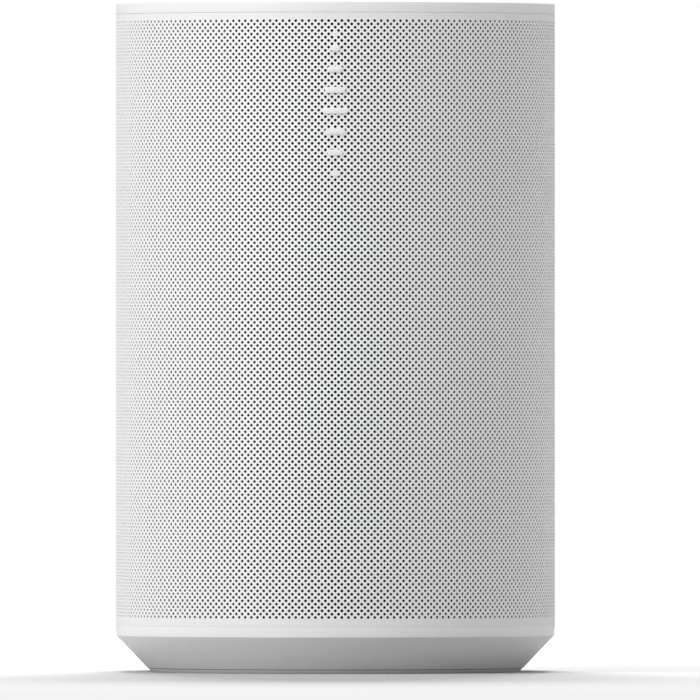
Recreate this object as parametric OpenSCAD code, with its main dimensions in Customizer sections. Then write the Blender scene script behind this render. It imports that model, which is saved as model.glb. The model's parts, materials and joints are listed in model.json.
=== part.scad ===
// Smart speaker: a perforated upright shell round a sealed cabinet with one
// woofer, two angled tweeters and the boards that drive them.
// The front faces -Y, +Z is up, and the origin is the centre of the foot.

/* [Body] */
// Width of the body
body_w = 120; // [114:1:150]
// Depth of the body, without the badge
body_d = 129.9; // [126:0.1:160]
// Height of the body
body_h = 182.5; // [180:0.5:230]
// Radius of the two rear corners
rear_r = 42; // [34:1:44]

/* [Shell] */
// Wall of the perforated grille
grille_t = 1.6; // [1.2:0.1:2]
// Thickness of the acoustic cloth behind the grille
liner_t = 0.6; // [0.4:0.1:0.8]
// Height of the cap's side
cap_h = 2.8; // [2.4:0.1:5]
// Thickness of the cap's plate
cap_plate = 2.2; // [1.8:0.1:2.4]
// Height of the base, up to the grille
base_h = 12.7; // [11.5:0.1:14]
// Height of the chamfer round the foot
chamfer_h = 9.95; // [7:0.05:10.5]
// How far the foot stands in from the body's side
chamfer_in = 9.75; // [6:0.05:12]
// How far the base band stands in at the chamfer
band_taper = 0.25; // [0.05:0.05:0.6]
// Wall of the base
base_wall = 2.4; // [2:0.1:3]
// Thickness of the silicone foot
foot_t = 1; // [0.6:0.1:1.6]
// Thickness of the lips that centre the grille
lip_t = 1.2; // [1:0.1:1.6]
// Height of those lips
lip_h = 3; // [2:0.1:4]
// Gap between shells that fit together
fit = 0.15; // [0.05:0.05:0.3]

/* [Front] */
// Rise of the badge over the grille
badge_rise = 0.6; // [0.3:0.1:1.5]
// Height of the badge
badge_h = 35.6; // [20:0.1:60]
// Width of the badge
badge_w = 7; // [4:0.1:14]
// Bars in the badge
badge_bars = 7; // [3:2:13]
// Thickness of one bar
bar_t = 1.7; // [1:0.1:3]
// Distance from the badge's top to the cap's seam
badge_drop = 9; // [6:0.1:40]
// Distance from the status light to the cap's seam
light_drop = 5.9; // [5:0.1:9]
// Radius of the status light
light_r = 0.4; // [0.3:0.05:0.6]

/* [Top] */
// Length of the volume trough
trough_l = 58; // [40:1:76]
// Width of the volume trough
trough_w = 13; // [8:0.5:20]
// Depth of the volume trough
trough_depth = 1; // [0.4:0.1:1.2]
// Distance of the trough in front of the plan's middle
trough_front = 10; // [0:1:20]
// Radius of a microphone's port
mic_port_r = 0.45; // [0.3:0.05:0.8]

/* [Rear panel] */
// Width of the rear panel
io_w = 26; // [24:0.5:30]
// Height of the rear panel
io_h = 74; // [72:1:90]
// Height of the panel's middle over the floor
io_z = 59; // [58:0.5:80]
// How far the panel lies under the grille's face
io_recess = 0.6; // [0.4:0.1:1]
// Travel of the pairing button
button_travel = 0.8; // [0.4:0.1:1]
// Radius of the pairing button
button_r = 4.5; // [3.5:0.1:5.5]
// Travel of the microphone switch
switch_travel = 2.5; // [1.5:0.1:3]
// Width of the mains inlet's opening
inlet_w = 15.6; // [15:0.1:16.4]
// Height of the mains inlet's opening
inlet_h = 8.2; // [7.8:0.1:9]
// Depth of the mains inlet
inlet_depth = 11.5; // [10:0.1:13]

/* [Cabinet] */
// How far the cabinet stands in from the body's side
cab_in = 6; // [4.5:0.5:7]
// Wall of the cabinet
cab_wall = 3; // [2:0.1:4]
// Height of the cabinet's floor over the ground
cab_z = 18; // [17:0.5:20]
// Height of the cabinet
cab_h = 100; // [98:1:104]
// Distance from the front of the body to the baffle
baffle_back = 28.65; // [28:0.05:34]
// Distance from the back of the body to the cabinet
rear_bay = 39.25; // [38:0.05:46]
// Thickness of the gasket between the shells
gasket_t = 1; // [0.6:0.1:1.6]

/* [Woofer] */
// Outer radius of the woofer's flange
flange_r = 42; // [40:0.5:43]
// Radius of the hole in the baffle
baffle_hole_r = 35; // [34.8:0.1:35.6]
// Travel of the cone each way
cone_travel = 4.5; // [1:0.5:5]
// Radius of the pole
pole_r = 11.8; // [11:0.1:11.9]
// Thickness of the voice coil's former
former_t = 0.25; // [0.2:0.05:0.3]
// Gap on each side of the voice coil
coil_gap = 0.35; // [0.3:0.05:0.5]

/* [Tweeters] */
// Angle of each tweeter from straight ahead
tweeter_angle = 45; // [42:1:50]
// Height of the tweeters over the cabinet
tweeter_up = 24; // [22:0.5:26]
// Radius of a tweeter's face plate
tweeter_r = 20.5; // [20:0.1:21]
// Travel of a tweeter's dome each way
dome_travel = 0.3; // [0.1:0.05:0.3]

/* [Underside] */
// Tapping radius of the threaded insert
insert_bore_r = 2.55; // [2:0.05:4]
// Length of the insert's bore
insert_bore_h = 10; // [6:0.5:11]

/* [Hidden] */
$fn = 64;
// Facets along the front half and along each rear corner of the plan
front_steps = 48;
rear_steps = 24;

half_w = body_w / 2;
front_y = badge_rise - (body_d + badge_rise) / 2;
back_y = front_y + body_d;
arc_y = front_y + half_w;
cap_z = body_h - cap_h;
light_z = cap_z - light_drop;
lip_in = grille_t + fit;

// Base: floor, screw posts and the boss of the insert
base_floor = foot_t + 2.4;
boss_r = 5;
head_seat = base_floor + 1.2;
base_post = [36, 16];
insert_r = 5;
insert_h = insert_bore_h + 2;

// Screws: long (m3) ones hold the structure, small ones the boards and tweeters
m3_r = 1.5;
m3_head_r = 2.75;
m3_head_h = 2;
small_r = 1.25;
small_head_r = 2.2;
small_head_h = 1.6;
screw_gap = 0.05;
joint_gap = 0.05;

// Cabinet
baffle_y = front_y + baffle_back;
cab_back = back_y - rear_bay;
cab_top = cab_z + cab_h;
split_y = cab_back - 26;
cab_boss_r = 4;
cab_boss_x = half_w - cab_in - cab_wall - 2.5;
cab_boss_z = [cab_z + 8, cab_z + cab_h / 2, cab_top - 8];
post_len = 12;
bracket_screw = [14, split_y - 14];

// Woofer, in its own frame: z is forward from the baffle's face
woofer_z = cab_z + cab_h / 2;
woofer_screw_r = flange_r - 3.4;
flange_z = gasket_t + 3;
coil_r = pole_r + coil_gap;
winding_r = coil_r + former_t + 0.25;
plate_hole_r = winding_r + coil_gap;
magnet_r = 28;
magnet_h = 10;
back_plate_z = -38.5;
coil_low = back_plate_z + cone_travel + 1;
winding_mid = back_plate_z + magnet_h + 2;
winding_z = [winding_mid - 5, winding_mid + 5];
spider_z = -19.5;
spider_ledge_r = 22.5;
cone_neck_r = coil_r + former_t;
cone_rim_z = flange_z - joint_gap;

// Height of the cone's front face at a radius
function cone_face(r) = -13.4 + (r - cone_neck_r) * (cone_rim_z + 13.4) / (24.5 - cone_neck_r);

// Tweeters, each in its own frame: z is forward from the bracket's wall
tweeter_z = cab_top + tweeter_up;
wall_out = half_w - 19;
wall_t = 3;
wall_half = tweeter_r + 0.5;
tweeter_screw_r = tweeter_r - 2.5;
bracket_t = 2.5;
bracket_post = [half_w - 18, split_y - 8];

// Top frame and touch board
board_t = 1.6;
touch_t = 1.2;
touch_z = body_h - cap_plate - touch_t;
frame_in = grille_t + fit + lip_t + 1.45;
frame_wall = 2.4;
frame_z = body_h - 14.5;
rail_t = 2.5;
mic_at = [34, 28];

// Rear chassis and its boards
chassis_t = 2.5;
chassis_half = 44;
chassis_back = cab_back + chassis_t;
frame_post = [42, cab_back];
board_y = chassis_back + 5.5;
power_half = 38;
power_z = [cab_z + 4, cab_z + 80];
power_hole = [34, 4];
amp_z = [power_z[1] + 4, frame_z - 8];
main_y = cab_back - 6;
main_z = [cab_top + 6, frame_z - 2];
main_half = 36;
main_hole = [32, 3];
chassis_screw = [40, 16];
lead_hole_z = cab_top - 12;
tweeter_lead = [16, cab_top + 3];

// Rear panel
io_flange = 2.5;
io_in = grille_t + 1.8;
io_face = back_y - io_recess;
io_inner = back_y - io_in;
io_board_y = back_y - 12;
io_board_z = [io_z - 15, io_z + 35];
io_post = [8, 3];
inlet_z = io_z - 25;
usb_z = io_z - 7;
switch_z = io_z + 7;
button_z = io_z + 21;
inlet_pin_r = 1.2;
inlet_pin_x = 4.3;
switch_body_h = 4.75;
knob_w = 4.5;
slot_h = 4.2;
tact_h = 2.95;
tact_floor = 0.5;
dome_h = button_travel + 0.55;

// ---------- plan outline ----------

// Points of an arc, both ends included
function arc(centre, r, from, to, steps) = [
    for (i = [0:steps])
        let (a = from + (to - from) * i / steps)
            [centre[0] + r * cos(a), centre[1] + r * sin(a)]
];

// The plan, moved in by an inset: half a circle in front, two rounded corners behind
function outline(inset) = concat(
    arc([0, arc_y], half_w - inset, 180, 360, front_steps),
    arc([half_w - rear_r, back_y - rear_r], rear_r - inset, 0, 90, rear_steps),
    arc([rear_r - half_w, back_y - rear_r], rear_r - inset, 90, 180, rear_steps)
);

// Inset of the base's side at a height
function base_inset(z) = z < chamfer_h
    ? chamfer_in + (band_taper - chamfer_in) * z / chamfer_h
    : band_taper * (base_h - z) / (base_h - chamfer_h);

// Points of an upright or lying pill: a box with two fully round ends
function pill(w, h) = w > h
    ? concat(arc([(w - h) / 2, 0], h / 2, -90, 90, 24), arc([(h - w) / 2, 0], h / 2, 90, 270, 24))
    : concat(arc([0, (h - w) / 2], w / 2, 0, 180, 24), arc([0, (w - h) / 2], w / 2, 180, 360, 24));

// ---------- shared shapes ----------

// A slab of the plan between two heights
module slab(inset, z0, z1) {
    translate([0, 0, z0])
        linear_extrude(z1 - z0)
            polygon(outline(inset));
}

// A wall that follows the plan
module band(inset, wall, z0, z1) {
    translate([0, 0, z0])
        linear_extrude(z1 - z0)
            difference() {
                polygon(outline(inset));
                polygon(outline(inset + wall));
            }
}

// A closed solid through rings of the plan, each level a height and an inset
module stack(levels) {
    rings = [for (level = levels) [for (p = outline(level[1])) [p[0], p[1], level[0]]]];
    n = len(rings[0]);
    last = len(levels) - 1;
    polyhedron(
        points = [for (ring = rings) each ring],
        faces = concat(
            [[for (i = [0:n - 1]) i]],
            [for (k = [0:last - 1]) for (i = [0:n - 1])
                [k * n + i, (k + 1) * n + i, (k + 1) * n + (i + 1) % n, k * n + (i + 1) % n]],
            [[for (i = [n - 1:-1:0]) last * n + i]]
        )
    );
}

// A piece of the plan's slab between two depths
module plan_block(inset, y0, y1, z0, z1) {
    translate([0, 0, z0])
        linear_extrude(z1 - z0)
            intersection() {
                polygon(outline(inset));
                translate([-body_w, y0])
                    square([2 * body_w, y1 - y0]);
            }
}

// A box given by its two corners
module box(low, high) {
    translate(low)
        cube(high - low);
}

// Something drawn along +z, laid so that it runs from y0 towards the back
module along_y(x, y0, z) {
    translate([x, y0, z])
        rotate([-90, 0, 0])
            children();
}

// A pill-shaped prism from y0 back to y1
module pill_block(w, h, z, y0, y1) {
    translate([0, y1, z])
        rotate([90, 0, 0])
            linear_extrude(y1 - y0)
                polygon(pill(w, h));
}

// A tube round the z axis
module tube(r, hole_r, h) {
    difference() {
        cylinder(r = r, h = h);
        translate([0, 0, -1])
            cylinder(r = hole_r, h = h + 2);
    }
}

// A screw along +z: the shank runs up from 0, the head lies below it
module screw(r, head_r, head_h, length) {
    difference() {
        union() {
            cylinder(r = r, h = length, $fn = 32);
            translate([0, 0, -head_h])
                cylinder(r = head_r, h = head_h, $fn = 32);
        }
        translate([0, 0, -head_h - 1])
            cylinder(r = head_r * 0.45, h = 1 + head_h * 0.6, $fn = 6);
    }
}

module m3_screw(length) {
    screw(m3_r, m3_head_r, m3_head_h, length);
}

module small_screw(length) {
    screw(small_r, small_head_r, small_head_h, length);
}

// ---------- base and foot ----------

module foot_pad() color("darkgray") {
    difference() {
        stack([[0, chamfer_in], [foot_t, base_inset(foot_t)]]);
        translate([0, 0, -1])
            cylinder(r = insert_r + 1, h = foot_t + 2);
    }
}

module base_shell() {
    difference() {
        stack([[foot_t, base_inset(foot_t)], [chamfer_h, band_taper], [base_h, 0]]);
        stack([
            [base_floor, base_inset(base_floor) + base_wall * sqrt(2)],
            [chamfer_h, band_taper + base_wall],
            [base_h + 1, band_taper + base_wall]
        ]);
    }
}

module base_housing() color("gainsboro") {
    difference() {
        union() {
            base_shell();
            band(lip_in, lip_t, base_h - lip_h / 2, base_h + lip_h);
            at_base_posts()
                translate([0, 0, base_floor - 1])
                    cylinder(r = boss_r, h = cab_z - base_floor + 1);
            translate([0, 0, base_floor - 1])
                cylinder(r = insert_r + 3, h = foot_t + insert_h + 1.5 - base_floor);
        }
        at_base_posts() {
            translate([0, 0, foot_t - 1])
                cylinder(r = m3_head_r + fit, h = head_seat - foot_t + 1);
            cylinder(r = m3_r + screw_gap, h = cab_z + 1);
        }
        translate([0, 0, foot_t - 1])
            cylinder(r = insert_r + screw_gap, h = insert_h + 1);
    }
}

module at_base_posts() {
    for (sx = [-1, 1], sy = [-1, 1])
        translate([sx * base_post[0], split_y + gasket_t / 2 + sy * base_post[1], 0])
            children();
}

module threaded_insert() color("goldenrod") {
    difference() {
        translate([0, 0, foot_t])
            cylinder(r = insert_r, h = insert_h);
        translate([0, 0, foot_t - 1])
            cylinder(r = insert_bore_r, h = insert_bore_h + 1);
    }
}

module base_screws() color("silver") {
    at_base_posts()
        translate([0, 0, head_seat])
            m3_screw(cab_z + post_len - 2 - head_seat);
}

// ---------- outer shell ----------

module grille() color("white") {
    difference() {
        band(0, grille_t, base_h, cap_z);
        pill_block(io_w, io_h, io_z, back_y - 2 * grille_t, back_y + 1);
        along_y(0, front_y - 1, light_z)
            cylinder(r = light_r + joint_gap, h = 2 * grille_t + 1, $fn = 24);
    }
}

module grille_liner() color("dimgray") {
    difference() {
        band(grille_t, liner_t, base_h + lip_h + 0.3, cap_z - lip_h - 0.3);
        pill_block(io_w + 2 * io_flange + 1, io_h + 2 * io_flange + 1, io_z, back_y - 6, back_y);
        along_y(0, front_y, light_z)
            cylinder(r = light_r + joint_gap, h = grille_t + 2 * liner_t, $fn = 24);
    }
}

// Seven level bars, the longest in the middle, that follow the grille's curve
module badge() color("whitesmoke") {
    pitch = (badge_h - bar_t) / (badge_bars - 1);
    middle = (badge_bars - 1) / 2;
    intersection() {
        band(-badge_rise, badge_rise, base_h, cap_z);
        for (i = [0:badge_bars - 1]) {
            length = badge_w * (1 - 0.62 * abs(i - middle) / middle);
            z = cap_z - badge_drop - bar_t / 2 - i * pitch;
            pill_block(max(length, bar_t + 0.2), bar_t, z, front_y - 4, front_y + 4);
        }
    }
}

// The tip shows in the grille, and the leg goes up to the lamp under the touch board
module status_light_pipe() color("ivory") {
    tip_end = front_y + grille_t + liner_t + 0.1;
    leg_y = front_y + frame_in + frame_wall + 1.8;
    along_y(0, front_y + 0.05, light_z)
        cylinder(r = light_r, h = tip_end - front_y, $fn = 24);
    along_y(0, tip_end, light_z)
        cylinder(r = 1.2, h = leg_y + 1.2 - tip_end, $fn = 24);
    translate([0, leg_y, light_z - 0.3])
        cylinder(r = 1.1, h = touch_z - light_z + 0.3, $fn = 24);
}

// ---------- cap and what lies under it ----------

module at_mics() {
    for (sx = [-1, 1], sy = [-1, 1])
        translate([sx * mic_at[0], arc_y + 8 + sy * mic_at[1], 0])
            children();
}

module top_cover() color("white") {
    difference() {
        union() {
            difference() {
                slab(0, cap_z, body_h);
                slab(lip_in + lip_t, cap_z - 1, body_h - cap_plate);
            }
            band(lip_in, lip_t, cap_z - lip_h, cap_z + 0.4);
        }
        translate([0, arc_y - trough_front, body_h - trough_depth])
            linear_extrude(trough_depth + 1)
                polygon(pill(trough_l, trough_w));
        at_mics()
            translate([0, 0, cap_z - 1])
                cylinder(r = mic_port_r, h = cap_h + 2, $fn = 24);
    }
}

module touch_board() color("darkgreen") {
    difference() {
        slab(frame_in + 0.6, touch_z, touch_z + touch_t);
        at_mics()
            translate([0, 0, touch_z - 1])
                cylinder(r = mic_port_r, h = touch_t + 2, $fn = 24);
    }
}

module microphones() color("silver") {
    mic = [3.8, 3, 1.1];
    at_mics()
        translate([-mic[0] / 2, -mic[1] / 2, touch_z - mic[2]])
            cube(mic);
}

module at_frame_posts() {
    for (sx = [-1, 1]) {
        translate([sx * bracket_post[0], bracket_post[1], 0])
            children();
        translate([sx * frame_post[0], frame_post[1], 0])
            children();
    }
}

module top_frame() color("dimgray") {
    rail = 9;
    difference() {
        union() {
            band(frame_in, frame_wall, frame_z, touch_z);
            intersection() {
                slab(frame_in + 1, frame_z, frame_z + rail_t);
                union() {
                    for (sx = [-1, 1])
                        box([sx * bracket_post[0] - rail / 2, -body_d, frame_z - 1],
                            [sx * bracket_post[0] + rail / 2, body_d, frame_z + rail_t + 1]);
                    for (y = [bracket_post[1], frame_post[1]])
                        box([-body_w, y - rail / 2, frame_z - 1],
                            [body_w, y + rail / 2, frame_z + rail_t + 1]);
                }
            }
        }
        at_frame_posts()
            translate([0, 0, frame_z - 1])
                cylinder(r = m3_r + screw_gap, h = rail_t + 2);
        along_y(0, front_y, light_z)
            cylinder(r = 1.2 + fit, h = 12, $fn = 24);
    }
}

module touch_ribbon() color("peru") {
    ribbon_y = main_y - board_t - 0.3;
    box([-6, ribbon_y, main_z[1] - 6], [6, ribbon_y + 0.3, touch_z]);
}

module antennas() color("darkolivegreen") {
    inside = frame_in + frame_wall;
    z = frame_z + rail_t + 0.5;
    side_l = back_y - rear_r - arc_y - 5.9;
    for (sx = [-1, 1])
        translate([sx * (half_w - inside - 0.4), arc_y + 1 + side_l / 2, z + 3])
            cube([0.8, side_l, 6], center = true);
    translate([0, back_y - inside - 0.4, z + 3])
        cube([24, 0.8, 6], center = true);
}

// ---------- cabinet ----------

module at_cabinet_screws() {
    for (sx = [-1, 1], z = cab_boss_z)
        translate([sx * cab_boss_x, 0, z])
            children();
}

module cabinet_front() color("darkslategray") {
    difference() {
        union() {
            difference() {
                plan_block(cab_in, baffle_y, split_y, cab_z, cab_top);
                plan_block(cab_in + cab_wall, baffle_y + cab_wall, split_y + 1,
                    cab_z + cab_wall, cab_top - cab_wall);
            }
            intersection() {
                plan_block(cab_in + 0.5, baffle_y + 1, split_y, cab_z + 1, cab_top - 1);
                union() {
                    at_cabinet_screws()
                        along_y(0, split_y - 13, 0)
                            cylinder(r = cab_boss_r, h = 13);
                    at_base_posts()
                        translate([0, 0, cab_z])
                            cylinder(r = boss_r, h = post_len);
                    for (sx = [-1, 1])
                        translate([sx * bracket_screw[0], bracket_screw[1], cab_top - 10])
                            cylinder(r = cab_boss_r, h = 10);
                    at_woofer_screws(baffle_y)
                        along_y(0, 0, 0)
                            cylinder(r = 3.4, h = 12);
                }
            }
        }
        at_cabinet_screws()
            along_y(0, split_y - 11, 0)
                cylinder(r = m3_r + screw_gap, h = 12);
        at_base_posts()
            translate([0, 0, cab_z - 1])
                cylinder(r = m3_r + screw_gap, h = post_len);
        for (sx = [-1, 1])
            translate([sx * bracket_screw[0], bracket_screw[1], cab_top - 9])
                cylinder(r = m3_r + screw_gap, h = 10);
        along_y(0, baffle_y - 1, woofer_z)
            cylinder(r = baffle_hole_r, h = cab_wall + 2, $fn = 96);
        at_woofer_screws(baffle_y - 1)
            along_y(0, 0, 0)
                cylinder(r = m3_r + screw_gap, h = 11.5);
    }
}

module cabinet_rear() color("darkslategray") {
    front = split_y + gasket_t;
    difference() {
        union() {
            difference() {
                plan_block(cab_in, front, cab_back, cab_z, cab_top);
                plan_block(cab_in + cab_wall, front - 1, cab_back - cab_wall,
                    cab_z + cab_wall, cab_top - cab_wall);
            }
            intersection() {
                plan_block(cab_in + 0.5, front, cab_back - 1, cab_z + 1, cab_top - 1);
                union() {
                    at_cabinet_screws()
                        along_y(0, front, 0)
                            cylinder(r = cab_boss_r, h = cab_back - front);
                    at_base_posts()
                        translate([0, 0, cab_z])
                            cylinder(r = boss_r, h = post_len);
                    at_chassis_screws()
                        along_y(0, cab_back - 11, 0)
                            cylinder(r = cab_boss_r, h = 10);
                }
            }
        }
        at_cabinet_screws() {
            along_y(0, front - 1, 0)
                cylinder(r = m3_r + screw_gap, h = 20);
            along_y(0, front + 8, 0)
                cylinder(r = m3_head_r + fit, h = cab_back - front);
        }
        at_base_posts()
            translate([0, 0, cab_z - 1])
                cylinder(r = m3_r + screw_gap, h = post_len);
        at_chassis_screws()
            along_y(0, cab_back - 9, 0)
                cylinder(r = m3_r + screw_gap, h = 10);
        along_y(1, cab_back - cab_wall - 1, lead_hole_z)
            cylinder(r = 3.2, h = cab_wall + 2);
    }
}

module cabinet_gasket() color("black") {
    outer = half_w - cab_in;
    inner = outer - cab_wall;
    difference() {
        box([-outer, split_y, cab_z], [outer, split_y + gasket_t, cab_top]);
        box([-inner, split_y - 1, cab_z + cab_wall], [inner, split_y + gasket_t + 1, cab_top - cab_wall]);
    }
}

module cabinet_screws() color("silver") {
    seat = split_y + gasket_t + 8;
    at_cabinet_screws()
        translate([0, seat, 0])
            rotate([90, 0, 0])
                m3_screw(seat - split_y + 10);
}

module damping_foam() color("gray") {
    box([-34, cab_back - cab_wall - 11, cab_z + cab_wall + 9],
        [34, cab_back - cab_wall, lead_hole_z - 6]);
}

// ---------- woofer ----------

// The woofer's frame: z forward, its origin on the baffle's face
module woofer_place() {
    translate([0, baffle_y, woofer_z])
        rotate([90, 0, 0])
            children();
}

module at_woofer_screws(y) {
    for (sx = [-1, 1], sz = [-1, 1])
        translate([sx * woofer_screw_r * cos(45), y, woofer_z + sz * woofer_screw_r * sin(45)])
            children();
}

module woofer_screw_holes() {
    for (a = [45:90:315])
        rotate(a)
            translate([woofer_screw_r, 0, -1])
                cylinder(r = m3_r + screw_gap, h = flange_z + 2);
}

module woofer_basket() color("black") {
    throat = baffle_hole_r - 0.6;
    woofer_place()
        difference() {
            rotate_extrude($fn = 96)
                polygon([
                    [flange_r, flange_z], [flange_r, gasket_t], [throat, gasket_t], [throat, -6],
                    [27, -20], [27, -24.5], [plate_hole_r + 0.6, -24.5], [plate_hole_r + 0.6, -22.5],
                    [spider_ledge_r, -22.5], [spider_ledge_r, spider_z], [spider_ledge_r + 2.7, spider_z],
                    [32.6, -5.4], [32.6, flange_z]
                ]);
            woofer_screw_holes();
            for (a = [0:60:300])
                rotate(a)
                    box([24, -8, -18], [40, 8, -7]);
        }
}

module woofer_gasket() color("dimgray") {
    woofer_place()
        difference() {
            tube(flange_r, baffle_hole_r, gasket_t);
            woofer_screw_holes();
        }
}

module woofer_top_plate() color("silver") {
    woofer_place()
        translate([0, 0, back_plate_z + magnet_h])
            tube(magnet_r - 1, plate_hole_r, 4);
}

module woofer_magnet() color("dimgray") {
    woofer_place()
        translate([0, 0, back_plate_z])
            tube(magnet_r, 15, magnet_h);
}

module woofer_back_plate() color("silver") {
    woofer_place()
        difference() {
            union() {
                translate([0, 0, back_plate_z - 5])
                    cylinder(r = magnet_r - 1, h = 5);
                translate([0, 0, back_plate_z - 1])
                    cylinder(r = pole_r, h = magnet_h + 5);
            }
            translate([0, 0, back_plate_z - 6])
                cylinder(r = 4, h = magnet_h + 12);
        }
}

// A half roll between two flat rims
module woofer_surround() color("black") {
    roll = 3;
    sheet = 0.6;
    middle = 29.4;
    lift = asin(sheet / (roll + sheet));
    woofer_place()
        translate([0, 0, flange_z])
            rotate_extrude($fn = 96)
                polygon(concat(
                    [[24.8, 0]],
                    arc([middle, 0], roll, 180, 0, 16),
                    [[35.4, 0], [35.4, sheet]],
                    arc([middle, 0], roll + sheet, lift, 180 - lift, 16),
                    [[24.8, sheet]]
                ));
}

// A corrugated ring that centres the coil
module woofer_spider() color("goldenrod") {
    sheet = 0.5;
    wave = 0.7;
    waves = 3;
    steps = 8 * waves;
    first = winding_r + 0.8;
    last = spider_ledge_r - 0.3;
    crest = concat(
        [[winding_r, 0]],
        [for (i = [0:steps]) [first + (last - first) * i / steps, wave * sin(360 * waves * i / steps)]],
        [[spider_ledge_r + 2.5, 0]]
    );
    woofer_place()
        translate([0, 0, spider_z])
            rotate_extrude($fn = 96)
                polygon(concat(
                    crest,
                    [for (i = [len(crest) - 1:-1:0]) crest[i] + [0, sheet]]
                ));
}

module woofer_screws() color("silver") {
    at_woofer_screws(baffle_y - flange_z)
        along_y(0, 0, 0)
            m3_screw(flange_z + 9);
}

module woofer_cone() color("gray") {
    woofer_place()
        rotate_extrude($fn = 96)
            polygon([
                [cone_neck_r, -14.6], [cone_neck_r + 0.8, -14.6], [24.9, cone_rim_z - 0.6],
                [26.3, cone_rim_z - 0.6], [26.3, cone_rim_z], [24.5, cone_rim_z],
                [cone_neck_r, cone_face(cone_neck_r)]
            ]);
}

module dust_cap() color("gray") {
    base_r = 15;
    rise = 4.5;
    sheet = 0.6;
    ball = (base_r * base_r + rise * rise) / (2 * rise);
    spread = asin(base_r / ball);
    woofer_place()
        translate([0, 0, cone_face(base_r) + 0.07 + rise - ball])
            rotate_extrude($fn = 64)
                polygon(concat(
                    arc([0, 0], ball, 90 - spread, 90, 16),
                    arc([0, 0], ball - sheet, 90, 90 - spread + 0.6, 16)
                ));
}

module voice_coil() color("peru") {
    former_r = coil_r + former_t;
    woofer_place()
        rotate_extrude($fn = 64)
            polygon([
                [coil_r, coil_low], [former_r, coil_low],
                [former_r, winding_z[0]], [winding_r, winding_z[0]],
                [winding_r, winding_z[1]], [former_r, winding_z[1]],
                [former_r, -13], [coil_r, -13]
            ]);
}

// ---------- tweeters ----------

// A tweeter's frame: z forward, its origin on the face of the bracket's wall
module tweeter_place(side) {
    translate([0, arc_y, tweeter_z])
        rotate([0, 0, side * tweeter_angle])
            translate([0, -wall_out, 0])
                rotate([90, 0, 0])
                    children();
}

module at_tweeter_screws(side) {
    tweeter_place(side)
        for (a = [90:120:330])
            rotate(a)
                translate([tweeter_screw_r, 0, 0])
                    children();
}

module tweeter_bracket() color("dimgray") {
    difference() {
        union() {
            plan_block(cab_in + 4, arc_y - wall_out - 2.4, split_y - 2, cab_top, cab_top + bracket_t);
            for (side = [-1, 1]) {
                translate([0, arc_y, cab_top])
                    rotate([0, 0, side * tweeter_angle])
                        box([-wall_half, -wall_out, 0], [wall_half, wall_t - wall_out, 2 * tweeter_up - 2]);
                translate([side * bracket_post[0], bracket_post[1], cab_top])
                    cylinder(r = cab_boss_r, h = frame_z - cab_top);
            }
        }
        for (side = [-1, 1]) {
            tweeter_place(side)
                translate([0, 0, -wall_t - 1])
                    cylinder(r = 13.3, h = wall_t + 2);
            at_tweeter_screws(side)
                translate([0, 0, -wall_t - 1])
                    cylinder(r = small_r + screw_gap, h = wall_t + 2);
            translate([side * bracket_post[0], bracket_post[1], frame_z - 9])
                cylinder(r = m3_r + screw_gap, h = 10);
            translate([side * bracket_screw[0], bracket_screw[1], cab_top - 1])
                cylinder(r = m3_r + screw_gap, h = bracket_t + 2);
        }
    }
}

module tweeter_plate(side) color("black") {
    difference() {
        tweeter_place(side)
            rotate_extrude($fn = 64)
                polygon([
                    [11.2, -3], [13, -3], [13, 0], [tweeter_r, 0], [tweeter_r, 3], [15.4, 3], [11.2, 0.6]
                ]);
        at_tweeter_screws(side)
            translate([0, 0, -1])
                cylinder(r = small_r + screw_gap, h = 5);
    }
}

module tweeter_motor(side) color("silver") {
    pole_face = -3.7 - dome_travel;
    tweeter_place(side)
        rotate_extrude($fn = 64)
            polygon([
                [0, -14], [12.8, -14], [12.8, -3], [10.8, -3], [10.8, -11.5], [9, -11.5],
                [9, pole_face], [0, pole_face]
            ]);
}

module tweeter_coil(side) color("peru") {
    tweeter_place(side)
        translate([0, 0, -9])
            tube(10.2, 9.6, 6.2);
}

module tweeter_dome(side) color("lightgray") {
    base_r = 10.6;
    rise = 4.2;
    sheet = 0.4;
    ball = (base_r * base_r + rise * rise) / (2 * rise);
    spread = asin(base_r / ball);
    tweeter_place(side)
        translate([0, 0, -2.6 + rise - ball])
            rotate_extrude($fn = 64)
                polygon(concat(
                    arc([0, 0], ball, 90 - spread, 90, 16),
                    arc([0, 0], ball - sheet, 90, 90 - spread + 0.6, 16)
                ));
}

module left_tweeter_plate() { tweeter_plate(-1); }
module right_tweeter_plate() { tweeter_plate(1); }
module left_tweeter_dome() { tweeter_dome(-1); }
module right_tweeter_dome() { tweeter_dome(1); }
module left_tweeter_coil() { tweeter_coil(-1); }
module right_tweeter_coil() { tweeter_coil(1); }
module left_tweeter_motor() { tweeter_motor(-1); }
module right_tweeter_motor() { tweeter_motor(1); }

// ---------- chassis and boards ----------

module at_chassis_screws() {
    for (sx = [-1, 1], z = [cab_z + chassis_screw[1], cab_top - chassis_screw[1]])
        translate([sx * chassis_screw[0], 0, z])
            children();
}

// The four holes of a board that stands between two heights
module at_board_holes(x, margin, z) {
    for (sx = [-1, 1], hole_z = [z[0] + margin, z[1] - margin])
        translate([sx * x, 0, hole_z])
            children();
}

module at_rear_board_holes() {
    at_board_holes(power_hole[0], power_hole[1], power_z)
        children();
    at_board_holes(power_hole[0], power_hole[1], amp_z)
        children();
}

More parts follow.
